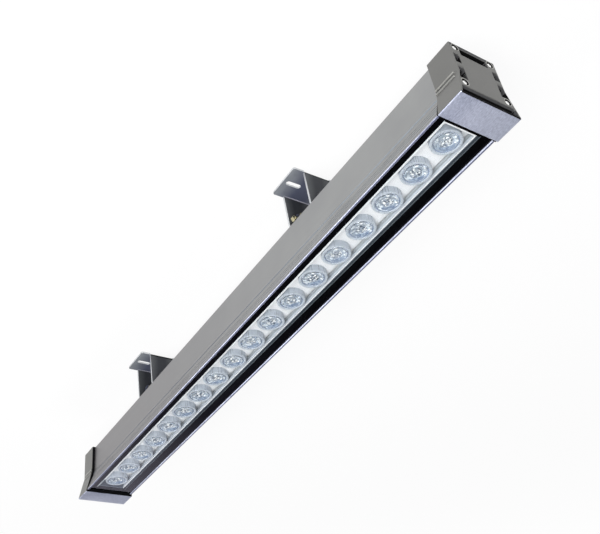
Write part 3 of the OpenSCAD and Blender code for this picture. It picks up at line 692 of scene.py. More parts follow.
class Form:
    """Surfaces in millimetres, gathered into one piece of the light."""

    def __init__(self) -> None:
        """Starts with no surface."""
        self.points: list[np.ndarray] = []
        self.faces: list[np.ndarray] = []
        self.tones: list[np.ndarray] = []
        self.count = 0

    def keep(self, points: np.ndarray, faces: np.ndarray, tone: Tones) -> None:
        """Adds points (n, 3) and faces (m, 3 or 4), counted from the first of these points.

        Args:
            points: their places.
            faces: rows of point numbers.
            tone: the finish, one for all faces or one for each.
        """
        self.points.append(points)
        self.faces.append(faces + self.count)
        self.tones.append(np.broadcast_to(tone, len(faces)))
        self.count += len(points)

    def grid(
        self, points: np.ndarray, wrap_rows: bool = False, wrap_columns: bool = False,
        tone: Tones = 0, flip: bool = False,
    ) -> None:
        """Adds quads between neighbours of a grid of points.

        Args:
            points: a (rows, columns, 3) array; the normal is columns' way x rows' way.
            wrap_rows: joins the last row to the first.
            wrap_columns: joins the last column to the first.
            tone: which of the piece's finishes it takes, one for all or one for each face.
            flip: turns the faces round.
        """
        rows, columns = points.shape[:2]
        index = np.arange(rows * columns).reshape(rows, columns)
        if wrap_rows:
            index = np.vstack([index, index[:1]])
        if wrap_columns:
            index = np.hstack([index, index[:, :1]])
        quads = np.stack([index[:-1, :-1], index[:-1, 1:], index[1:, 1:], index[1:, :-1]], axis=-1)
        quads = quads.reshape(-1, 4)
        self.keep(points.reshape(-1, 3), quads[:, ::-1] if flip else quads, tone)

    def sheet(
        self, loops: Sequence[np.ndarray], level: float, axis: Axis, up: bool, tone: int = 0
    ) -> None:
        """Adds a flat face with holes, square to an axis.

        Args:
            loops: the outline and then the holes, as (n, 2) arrays of Y, Z or of X, Y.
            level: its place on the axis.
            axis: X or Z.
            up: True if it faces the axis's positive way.
            tone: which of the piece's finishes it takes.
        """
        flat = np.concatenate(loops)
        vectors = [[Vector((a, b, 0.0)) for a, b in loop] for loop in loops]
        faces = np.array(tessellate_polygon(vectors))
        first, second = flat[faces[:, 1]] - flat[faces[:, 0]], flat[faces[:, 2]] - flat[faces[:, 0]]
        area = first[:, 0] * second[:, 1] - first[:, 1] * second[:, 0]
        faces[(area > 0) != up] = faces[(area > 0) != up][:, ::-1]
        here = np.full((len(flat), 1), level)
        points = np.hstack([here, flat] if axis is Axis.X else [flat, here])
        self.keep(points, faces[np.abs(area) > 1e-9], tone)

    def swept(
        self, loops: Sequence[np.ndarray], stations: Sequence[float], tones: Sequence[Tones],
        ends: int = 0,
    ) -> None:
        """Carries a section along X and closes its two ends.

        Point (i, j) is (stations[i], loop[j]).

        Args:
            loops: the anticlockwise outline and then its holes, as (n, 2) arrays of Y and Z.
            stations: places along X, rising.
            tones: for each loop, the finish of its sides, one for all or one for each.
            ends: the finish of the two ends.
        """
        along = np.asarray(stations, dtype=float)
        for number, (loop, tone) in enumerate(zip(loops, tones)):
            wall = np.empty((len(along), len(loop), 3))
            wall[..., 0], wall[..., 1:] = along[:, None], loop[None]
            tone = np.tile(np.broadcast_to(tone, len(loop)), len(along) - 1)
            self.grid(wall, wrap_columns=True, tone=tone, flip=number > 0)
        self.sheet(loops, along[0], Axis.X, False, ends)
        self.sheet(loops, along[-1], Axis.X, True, ends)

    def turned(
        self, profile: np.ndarray, middle: Sequence[float], axis: Axis, sides: int,
        tone: Tones = 0, closed: bool = False,
    ) -> None:
        """Turns a profile round an axis: (r cos t, r sin t) beside height h.

        Args:
            profile: (n, 2) array of radius and height, outer wall rising.
            middle: the axis's place, as X, Y and Z.
            axis: X or Z.
            sides: faces round the axis.
            tone: the finish, one for all, one for each side of the profile or one for each face.
            closed: joins the profile's end to its start, for a ring.
        """
        turn = np.linspace(0.0, 2.0 * np.pi, sides, endpoint=False)
        across = profile[:, :1] * np.cos(turn)[None], profile[:, :1] * np.sin(turn)[None]
        height = np.broadcast_to(profile[:, 1:], across[0].shape)
        points = np.stack((*across, height) if axis is Axis.Z else (height, *across), axis=-1)
        if np.size(tone) == len(profile) - (not closed):
            tone = np.repeat(tone, sides)
        points = points + np.asarray(middle, dtype=float)
        self.grid(points, wrap_rows=closed, wrap_columns=True, tone=tone)

    def border(
        self, half_x: float, half_y: float, middle_x: float, profile: np.ndarray, tone: Tones
    ) -> None:
        """Carries a closed section round a rectangle with mitred corners.

        Point (i, j) is corner i moved out by profile[j][0], at height profile[j][1].

        Args:
            half_x: half the rectangle's length along X.
            half_y: half its width along Y.
            middle_x: its middle along X.
            profile: (n, 2) array of offset outwards and height, anticlockwise.
            tone: which of the piece's finishes each face takes.
        """
        sides = rectangle(1.0, 1.0)
        out, height = profile.T
        points = np.empty((4, len(profile), 3))
        points[..., 0] = middle_x + sides[:, :1] * (half_x + out)[None]
        points[..., 1] = sides[:, 1:] * (half_y + out)[None]
        points[..., 2] = height[None]
        self.grid(points, wrap_rows=True, wrap_columns=True, tone=tone, flip=True)

    def place(
        self, name: str, body: str, slot: str, finishes: Sequence[Surface],
        replaces: Sequence[str] = (), sharp: float = EDGE_ANGLE,
    ) -> Object:
        """Makes the gathered surfaces one piece of the scene.

        Args:
            name: the piece's name.
            body: the CAD body it rides on.
            slot: the record's material slot; not used.
            finishes: its finishes, in the order of the faces' numbers.
            replaces: the CAD nodes it stands for.
            sharp: the angle in degrees from which an edge stays sharp.
        Returns:
            The new object.
        """
        mesh = bpy.data.meshes.new(name)
        faces = [face for group in self.faces for face in group.tolist()]
        mesh.from_pydata((np.concatenate(self.points) * MM).tolist(), [], faces)
        mesh.polygons.foreach_set("material_index", np.concatenate(self.tones).astype(np.int32))
        merge(mesh, mesh, False)
        return finish_piece(mesh, name, body, slot, finishes, replaces, sharp)


def finish_piece(
    mesh: Mesh, name: str, body: str, slot: str, finishes: Sequence[Surface],
    replaces: Sequence[str], sharp: float,
) -> Object:
    """Shades a mesh, gives it its finishes and ties it to the frame. Args as for Form.place.

    Returns:
        The new object.
    """
    mesh.polygons.foreach_set("use_smooth", np.ones(len(mesh.polygons), dtype=bool))
    mesh.set_sharp_from_angle(angle=math.radians(sharp))
    for finish in finishes:
        mesh.materials.append(finish.material())
    piece = new_object(name, mesh)
    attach(piece, body)
    if replaces:
        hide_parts(*replaces)
    log.info("%s: %d faces", name, len(mesh.polygons))
    return piece


def break_edges(piece: Object, width_mm: float, angle: float, harden: bool) -> None:
    """Bevels a piece's edges from an angle in degrees, with its flats kept flat by harden.

    Args:
        piece: the piece.
        width_mm: how wide the bevel is.
        angle: the angle in degrees from which an edge is broken.
        harden: True to keep the flats shaded flat.
    """
    bevel = piece.modifiers.new("broken edges", "BEVEL")
    bevel.width, bevel.segments, bevel.limit_method = width_mm * MM, 2, "ANGLE"
    bevel.angle_limit, bevel.harden_normals = math.radians(angle), harden


@dataclass
class Fastening:
    """A CAD node whose shape is right: a merged copy of it with its edges broken."""

    node: str
    body: str
    slot: str
    finishes: Sequence[Surface]
    edge_mm: float

    def tones(self, middle: np.ndarray, normal: np.ndarray) -> Tones:
        """Which finish each face takes: the first for all of them."""
        return np.zeros(len(middle), dtype=int)

    def build(self, frame: dict) -> Object:
        """Merges a copy of the node's triangles, bevels its edges and dresses it.

        Args:
        Returns:
            The new object, which replaces the node.
        """
        name = self.node + "_finished"
        mesh = bpy.data.meshes.new(name)
        merge(frame["nodes"][self.node].data, mesh, True)
        mesh.materials.clear()
        middle, normal = np.empty(3 * len(mesh.polygons)), np.empty(3 * len(mesh.polygons))
        mesh.polygons.foreach_get("center", middle)
        mesh.polygons.foreach_get("normal", normal)
        tone = self.tones(middle.reshape(-1, 3) / MM, normal.reshape(-1, 3))
        mesh.polygons.foreach_set("material_index", tone.astype(np.int32))
        dress = self.body, self.slot, self.finishes, [self.node], EDGE_ANGLE
        piece = finish_piece(mesh, name, *dress)
        break_edges(piece, self.edge_mm, EDGE_ANGLE, True)
        return piece


# ---------------------------------------------------------------- the light's pieces


@dataclass
class Levels:
    """Heights and widths that several pieces share, in millimetres."""

    back: float = 70.4
    kink: float = 114.6
    web: float = 127.8
    floor: float = 132.4
    ledge: float = 144.0
    lip: float = 149.5
    front: float = 152.0
    middle_x: float = -8.0
    housing_half: float = 463.0
    pitch: float = 51.0
    lenses: int = 18

    def lens_x(self) -> np.ndarray:
        """The lenses' places along X: middle + (i - 8.5) pitch."""
        return self.middle_x + (np.arange(self.lenses) - (self.lenses - 1) / 2) * self.pitch


class HousingTone(IntEnum):
    """The housing's finishes, as its faces count them."""

    BODY = 0
    SLATE_PAINTED_SHADE = 1
    LIP = 2
    SEAT = 3
    LIP_FLAT = 4
    STEP = 5


@dataclass
class Housing:
    """The extruded channel with its T track, lips and ribbed band."""

    levels: Levels
    front_half: float = 40.0
    back_half: float = 28.9
    lip_side: float = 2.9
    lip_chamfer: float = 0.6
    pocket_half: float = 36.4
    pocket_deep: float = 1.6
    chamber_half: float = 29.0
    chamber_shelf: float = 136.0
    web_half: float = 25.48
    web_thick: float = 3.0
    wall: float = 2.3
    # The T track's slot and head, as half widths and heights
    slot_half: float = 4.3
    slot_top: float = 72.6
    head_half: float = 8.5
    head_top: float = 77.8
    track_wall: float = 2.0
    # The step in the flare, how far the flare above it is sunk, and the ribs' heights there
    step_z: tuple[float, float] = (119.3, 120.3)
    sink: float = 0.7
    ribs_z: tuple[float, float] = (122.6, 125.8)
    rib_mm: float = 0.4
    ribs: int = 2
    # Fine grooves further up, and the dark joint under the lip: height, width and depth
    lines: tuple[float, ...] = (129.5, 134.0, 138.6)
    line_mm: float = 1.1
    line_deep: float = 0.4
    joint: Triple = (144.6, 0.6, 0.8)

    def side(self, z: float | np.ndarray) -> float | np.ndarray:
        """Half width of the flared side at height z, a straight line from lip to kink."""
        rise = (z - self.levels.kink) / (self.levels.lip - self.lip_side - self.levels.kink)
        return self.back_half + (self.front_half - self.back_half) * rise

    def sunk(self, z: Sequence[float], depth: Sequence[float], radius: float) -> np.ndarray:
        """Points of the flare at heights z, side(z) less depth, as rows of Y, Z, radius."""
        z = np.asarray(z)
        return np.stack([self.side(z) - np.asarray(depth), z, np.full(len(z), radius)], axis=1)

    def band(self) -> np.ndarray:
        """The step and the ribs above it, whose depths zigzag by rib_mm.

        Returns:
            Rows of Y, Z, radius.
        """
        low, high = self.step_z
        step = self.sunk([low, 0.5 * (low + high), high], [0.0, 0.5 * self.sink, self.sink], 0.05)
        z = np.linspace(*self.ribs_z, 2 * self.ribs + 1)
        zigzag = np.where(np.arange(len(z)) % 2 == 0, self.sink, self.sink + self.rib_mm)
        return np.concatenate([step, self.sunk(z, zigzag, 0.12)])

    def groove(self, z: float, wide: float, deep: float) -> np.ndarray:
        """A square groove in the sunk flare from height z up, as rows of Y, Z, radius."""
        floor = self.sink + deep
        return self.sunk([z, z, z + wide, z + wide], [self.sink, floor, floor, self.sink], 0.05)

    def outline(self) -> np.ndarray:
        """The whole section, anticlockwise from the T track round to the web.

        Returns:
            Points as an (n, 2) array of Y and Z.
        """
        v, bright, edge, pocket = self.levels, self.lip_chamfer, self.front_half, self.pocket_half
        low = [
            [self.head_half, self.head_top, 0.3], [self.head_half, self.slot_top, 0.3],
            [self.slot_half, self.slot_top, 0.25], [self.slot_half, v.back, 0.4],
            [self.back_half, v.back, 1.2], [self.back_half, v.kink, 1.0],
        ]
        high = [
            [edge, v.lip - self.lip_side, 0.3], [edge, v.lip - bright, 0.1],
            [edge - bright, v.lip, 0.1], [pocket + 0.8, v.lip, 0.1], [pocket, v.lip - 0.8, 0.1],
            [pocket, v.lip - self.pocket_deep, 0.05], [pocket, v.ledge, 0.2],
            [self.chamber_half, v.ledge, 0.3], [self.chamber_half, self.chamber_shelf, 0.3],
            [self.web_half, self.chamber_shelf, 0.3], [self.web_half, v.web, 0.3],
        ]
        grooves = [self.groove(z, self.line_mm, self.line_deep) for z in self.lines]
        grooves.append(self.groove(*self.joint))
        return rounded(mirrored(np.concatenate([low, self.band(), *grooves, high])))

    def chamber(self) -> np.ndarray:
        """The closed lower chamber, clockwise, beside the T track and under the web.

        Returns:
            Points as an (n, 2) array of Y and Z.
        """
        v = self.levels
        track, low = self.head_half + self.track_wall, v.back + 2.5
        inside, high = self.back_half - self.wall, v.web - self.web_thick
        return rounded(mirrored([
            [track, self.head_top + self.track_wall, 0.4], [track, low, 0.4], [inside, low, 0.8],
            [inside, v.kink, 0.8], [self.side(high) - self.wall, high, 0.8],
        ]))[::-1]

    def tones(self, loop: np.ndarray) -> np.ndarray:
        """Which finish each side of the outline takes, by the place of its middle.

        Args:
            loop: the rounded outline.
        Returns:
            A HousingTone for each side.
        """
        v, pocket = self.levels, self.pocket_half
        across, z = side_middles(loop).T
        across, pocket_low = np.abs(across), v.lip - self.pocket_deep - 0.1
        # The chamber's inside is painted slate: painted shade
        inside = (z > v.web - 0.1) & (z < pocket_low) & (across < self.side(z) - 2.2)
        seat = inside & (across > self.chamber_half + 0.2)
        joint_low = self.joint[0] - 0.1
        seat |= (z > joint_low) & (z < joint_low + 0.8) & (across > pocket + 0.5)
        # Painted reflections: bluish on the lips' corners, as on the cap's front, and darker on
        # their flats
        lip = (z > v.lip - self.lip_chamfer) | ((z > pocket_low) & (across < pocket + 0.9))
        flat = (z > v.lip - 0.05) & (across > pocket + 0.9) & (across < self.front_half - 0.7)
        # A blue-grey painted reflection on the step and the floors of the fine grooves
        step = (z > self.step_z[0] + 0.05) & (z < self.step_z[1] - 0.05)
        for line in self.lines:
            step |= np.abs(z - line - 0.5 * self.line_mm) < 0.05
        step &= across > self.back_half
        tone = HousingTone
        return np.select(
            [flat, step, lip, seat, inside],
            [tone.LIP_FLAT, tone.STEP, tone.LIP, tone.SEAT, tone.SLATE_PAINTED_SHADE], tone.BODY,
        )

    def build(self, finishes: Finishes) -> None:
        """Sweeps the section along the housing.

        Args:
            finishes: the light's finishes.
        """
        v, form, outline = self.levels, Form(), self.outline()
        ends = [v.middle_x - v.housing_half, v.middle_x + v.housing_half]
        form.swept([outline, self.chamber()], ends, [self.tones(outline), HousingTone.BODY])
        finish = [
            finishes.body, finishes.sealant, finishes.brushed_painted_sheen, finishes.rubber, finishes.scuffed,
            finishes.step,
        ]
        form.place("housing_extrusion", "lamp", "housing", finish, ["housing"], 25.0)


class CapTone(IntEnum):
    """An end cap's finishes, as its faces count them."""

    SIDE = 0
    FRONT = 1
    RECESS_PAINTED_SHADE = 2
    CREST = 3
    BACK = 4
    BRIM_PAINTED_SHADE = 5
    FACE_PAINTED_SHADE = 6


@dataclass(frozen=True)
class Recess:
    """A cored recess of a cap's end face: depths below the front, widths from the middle."""

    top: float
    bottom: float
    slope: float
    deep: float
    inner: float = 0.0
    margin: float = 0.0
    outer: Optional[float] = None
    draft: float = 0.4

    def depth(self, below: np.ndarray, across: np.ndarray, side: np.ndarray) -> np.ndarray:
        """A smooth box that slopes out to the plateau over its last millimetres.

        Args:
            below: how far each point lies below the cap's front.
            across: its distance from the middle.
            side: the cap's half width there.
        Returns:
            Depth below the plateau, 0 outside the recess.
        """
        draft, outer = self.draft, side - self.margin if self.outer is None else self.outer
        along = smooth_step(below, self.top - draft, self.top + draft)
        along = along * (1 - smooth_step(below, self.bottom - self.slope, self.bottom))
        wide = smooth_step(across, self.inner - draft, self.inner + draft) if self.inner else 1.0
        return self.deep * along * wide * (1 - smooth_step(across, outer - draft, outer + draft))


@dataclass
class EndCap:
    """A die-cast end cap: flanged sides with two beads, and a recessed end face."""

    levels: Levels
    inner_x: float
    outward: int
    name: str
    length: float = 35.0
    back: float = 68.0
    front_half: float = 41.5
    back_half: float = 32.5
    edge: float = 2.0
    chamfer: float = 0.8
    end_r: float = 0.9
    inner_edge: float = 0.3
    # Two half-round beads beside the kink, which end short of the end face
    bead_r: float = 1.35
    bead_off: float = 3.0
    bead_end: float = 29.5
    cell: float = 0.42
    # Places along the sides, closer where the beads end
    stations: tuple[float, ...] = (32.0, 29.7, 29.4, 29.1, 28.8, 28.5, 28.2, 16.0, 8.0)
    # Screws as distance from the middle and depth below the front, and the bores round them
    screws: tuple = ((29.48, 20.0), (25.0, 77.5))
    bore_deep: float = 6.0
    bore_wall: tuple[float, float] = (4.6, 5.2)
    boss_wall: tuple[float, float] = (5.4, 7.0)
    # Depths from which a recess takes painted shade, black or half dark, and the strips painted so
    # at the front and the back
    shaded: float = 0.8
    dark: float = 3.5
    dark_above: float = 2.6
    shaded_below: float = 78.6
    # The front slot, a pocket on each side above and below the middle, and the slot at the back
    recesses: tuple[Recess, ...] = (
        Recess(2.2, 13.5, 5.0, 15.0, margin=3.0),
        Recess(26.2, 47.5, 11.0, 17.0, inner=23.6, margin=1.6),
        Recess(52.2, 66.0, 4.5, 17.0, inner=23.6, margin=1.6),
        Recess(69.0, 78.2, 0.8, 15.0, outer=19.0),
    )

    def half(self, depth: np.ndarray) -> np.ndarray:
        """Half width at a depth below the front: straight edge, flare, straight back.

        Args:
            depth: how far below the front.
        Returns:
            The half widths there.
        """
        places = [0.0, self.edge, self.levels.front - self.levels.kink, 90.0]
        widths = [self.front_half, self.front_half, self.back_half, self.back_half]
        return np.interp(depth, places, widths)

    def rows(self) -> np.ndarray:
        """Shares of the height from back to front, closer at the corners and the beads.

        Returns:
            Rising numbers from 0 to 1.
        """
        tall = self.levels.front - self.back
        even = np.linspace(0.0, 1.0, round(tall / self.cell))
        near = np.array([0.0, 0.5 * self.chamfer, self.chamfer]) / tall
        # A row each 0.2 mm across the two beads
        bead = (self.levels.kink - self.back + np.linspace(-4.2, 4.2, 43)) / tall
        every = np.sort(np.concatenate([even, near, 1.0 - near, bead]))
        return every[np.concatenate([[True], np.diff(every) > 0.02 / tall])]

    def outline(self, rows: np.ndarray, inset: float) -> tuple[np.ndarray, np.ndarray]:
        """Height and half width of each row of the outline, drawn in by inset.

        Near the back and the front the half width shrinks by chamfer - h, where h is the height
        above that end, which breaks the four corners at 45 degrees.

        Args:
            rows: shares of the height, as rows() gives them.
            inset: how far it is drawn in.
        Returns:
            The heights and the half widths.
        """
        low, high = self.back + inset, self.levels.front - inset
        z = low + rows * (high - low)
        shrink = np.clip(self.chamfer - np.minimum(z - low, high - z), 0.0, None)
        return z, self.half(self.levels.front - z) - inset - shrink

    def recess(self, y: np.ndarray, z: np.ndarray) -> np.ndarray:
        """Depth of the end face below its plateau: the deepest wins of recesses and bores.

        A smooth step from 0 to 1 round each screw keeps the recesses off its boss.

        Args:
            y: the points' places across.
            z: their heights.
        Returns:
            The depths.
        """
        below, across = self.levels.front - z, np.abs(y)
        side = self.half(below)
        away = [np.hypot(across - place, below - depth) for place, depth in self.screws]
        deep = [one.depth(below, across, side) for one in self.recesses]
        for distance in away:
            deep = [one * smooth_step(distance, *self.boss_wall) for one in deep]
        bores = [self.bore_deep * (1 - smooth_step(distance, *self.bore_wall)) for distance in away]
        return np.max(deep + bores, axis=0)

    def bead(self, z: np.ndarray, out: float) -> np.ndarray:
        """Height of the two beads: half rounds at the kink +- bead_off that end at bead_end.

        Args:
            z: the heights of its points.
            out: the ring's distance out from the inner face.
        Returns:
            How far the beads stand out at each height.
        """
        fade = 1.0 - float(smooth_step(np.array(out), self.bead_end - 1.2, self.bead_end))
        away = np.abs(np.abs(z - self.levels.kink) - self.bead_off)
        return fade * np.sqrt(np.clip(self.bead_r**2 - away**2, 0.0, None))

    def lay(
        self, form: Form, out: np.ndarray, y: np.ndarray, z: np.ndarray, tone: Tones,
        flip: bool = False,
    ) -> None:
        """Adds a grid given by its distance out from the cap's inner face, Y and Z."""
        points = np.stack([self.inner_x + self.outward * out, y, z], axis=-1)
        form.grid(points, tone=tone, flip=flip != (self.outward < 0))

    def at_screws(
        self, form: Form, profile: np.ndarray, tone: np.ndarray, sides: int, closed: bool
    ) -> None:
        """Turns a profile of radius and distance out about each of the four screws' axes.

        Args:
            form: the surfaces to add to.
            profile: (n, 2) array of radius and distance out from the inner face.
            tone: the finish of each side of the profile.
            sides: faces round each axis.
            closed: True to join the profile's end to its start.
        """
        profile = np.stack([profile[:, 0], self.inner_x + self.outward * profile[:, 1]], axis=1)
        if self.outward < 0:
            profile, tone = profile[::-1], np.roll(tone[::-1], -1 if closed else 0)
        for across, depth in self.screws:
            for y in (-across, across):
                middle = (0.0, y, self.levels.front - depth)
                form.turned(profile, middle, Axis.X, sides, tone, closed)

    def end_face(self, form: Form, rows: np.ndarray, columns: np.ndarray) -> None:
        """The end face as a height field, and the rings that line its screw bores.

        Args:
            form: the surfaces to add to.
            rows: shares of the height, as rows() gives them.
            columns: shares of the half width, from -1 to 1.
        """
        z, half = self.outline(rows, self.end_r)
        y = half[:, None] * columns[None]
        z = np.broadcast_to(z[:, None], y.shape)
        sunk = self.recess(y, z)
        deep, below = cell_means(sunk), self.levels.front - cell_means(z)
        # Painted shade: black in deep recesses and over the slot, half dark on their brims and at
        # the back
        recess = (deep > self.dark) | (below < self.dark_above)
        brim_painted_shade = (deep > self.shaded) | (below > self.shaded_below)
        tone = np.select([recess, brim_painted_shade], [CapTone.RECESS_PAINTED_SHADE, CapTone.BRIM_PAINTED_SHADE], CapTone.FACE_PAINTED_SHADE)
        self.lay(form, self.length - sunk, y, z, tone.ravel())
        low, high = self.length - self.bore_deep - 0.3, self.length + 0.15
        section = np.array([
            [4.4, low], [5.4, low], [5.5, high - 0.3], [5.3, high], [4.7, high], [4.4, high - 0.3],
        ])
        # The bore takes painted shade, its rim a painted highlight
        bore, side, rim = CapTone.RECESS_PAINTED_SHADE, CapTone.SIDE, CapTone.CREST
        self.at_screws(form, section, np.array([bore, side, side, rim, side, bore]), 40, True)

    def walls(self, form: Form, rows: np.ndarray, columns: np.ndarray) -> None:
        """The sides, front and back as rings from the end face's rounded rim to the inner face.

        Args:
            form: the surfaces to add to.
            rows: shares of the height, as rows() gives them.
            columns: shares of the half width, from -1 to 1.
        """
        turn = np.linspace(0.0, np.pi / 2, 5)
        rim = zip(self.length - self.end_r * (1 - np.cos(turn)), self.end_r * (1 - np.sin(turn)))
        stations = [*rim, *((out, 0.0) for out in self.stations), (self.inner_edge, 0.0)]
        stations.append((0.0, self.inner_edge))
        side, front, back = [], [], []
        for out, inset in stations:
            z, half = self.outline(rows, inset)
            side.append([np.full(len(z), out), half + self.bead(z, out), z])
            for strip, end in ((front, -1), (back, 0)):
                flat = np.ones(len(columns))
                strip.append([out * flat, half[end] * columns, z[end] * flat])
        side, front, back = (np.swapaxes(rings, 0, 1) for rings in (side, front, back))
        out, z = cell_means(side[0]), cell_means(side[2])
        away = np.abs(np.abs(z - self.levels.kink) - self.bead_off)
        # The beads' crests take a painted highlight
        crest = (away < 0.6 * self.bead_r) & (out < self.bead_end - 0.6)
        front_edge = z > self.levels.front - self.chamfer
        tone = np.select([front_edge, crest], [CapTone.FRONT, CapTone.CREST], CapTone.SIDE).ravel()
        self.lay(form, *side, tone, True)
        self.lay(form, side[0], -side[1], side[2], tone)
        # The front's rounded rim over the slot takes painted shade, the rest is linished
        rim_painted_shade = np.arange(len(stations) - 1) < len(turn) - 1
        tone = np.repeat(np.where(rim_painted_shade, CapTone.RECESS_PAINTED_SHADE, CapTone.FRONT), len(columns) - 1)
        self.lay(form, *front, tone)
        self.lay(form, *back, CapTone.SIDE, True)

    def build(self, finishes: Finishes, node: str) -> None:
        """Makes the end face, the sides round its rim and the flat inner face.

        Args:
            finishes: the light's finishes.
            node: the CAD node it stands for.
        """
        form, rows = Form(), self.rows()
        columns = np.linspace(-1.0, 1.0, round(2 * self.front_half / self.cell))
        self.end_face(form, rows, columns)
        self.walls(form, rows, columns)
        z, half = self.outline(rows, self.inner_edge)
        loop = np.concatenate([np.stack([half, z], axis=1), np.stack([-half, z], axis=1)[::-1]])
        form.sheet([loop], self.inner_x, Axis.X, self.outward < 0, CapTone.BACK)
        finish = [
            finishes.cast, finishes.brushed_painted_sheen, finishes.cored, finishes.rubbed, finishes.rubber,
            finishes.brim_painted_shade, finishes.face,
        ]
        form.place(self.name, "lamp", "end_cap", finish, [node], 40.0)


@dataclass
class CapScrews:
    """The four button-head screws that hold one end cap."""

    cap: EndCap
    node: str
    head_base: float = 29.0
    head_side: float = 3.7
    head_r: float = 3.5
    dome: float = 2.3
    socket_r: float = 0.9
    shank_r: float = 1.9

    def build(self, finishes: Finishes) -> None:
        """Turns each screw: a shank, a domed head r = R cos t, h = dome sin t, and its socket.

        Args:
            finishes: the light's finishes.
        """
        box = np.array(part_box(self.node)) / MM
        inner = np.min((box[:, 0] - self.cap.inner_x) * self.cap.outward)
        side = self.head_base + self.head_side
        turn = np.linspace(0.0, math.acos(self.socket_r / self.head_r), 9)[:, None]
        head = np.hstack([self.head_r * np.cos(turn), side + self.dome * np.sin(turn)])
        profile = np.concatenate([
            [[0.0, inner], [self.shank_r, inner], [self.shank_r, self.head_base]],
            [[self.head_r, self.head_base]], head, [[self.socket_r, side + 0.3], [0.0, side - 0.1]],
        ])
        # The head's flank is painted black: painted shade
        tone = (0.5 * (profile[1:, 0] + profile[:-1, 0]) > 2.7).astype(int)
        form = Form()
        self.cap.at_screws(form, profile, tone, 32, False)
        finish = [finishes.tumbled, finishes.oxide]
        form.place(self.node + "_turned", "lamp", "screws", finish, [self.node], 40.0)


class TrayTone(IntEnum):
    """The tray's finishes, as its faces count them."""

    WHITE = 0
    HOLLOW = 1
    CREST = 2
    SLATE_PAINTED_SHADE = 3


class LensTone(IntEnum):
    """A lens's finishes, as its faces count them."""

    CLEAR = 0
    DOME = 1
    ANNULUS = 2
    CRESCENT = 3
    GLINT = 4
    SPECK = 5


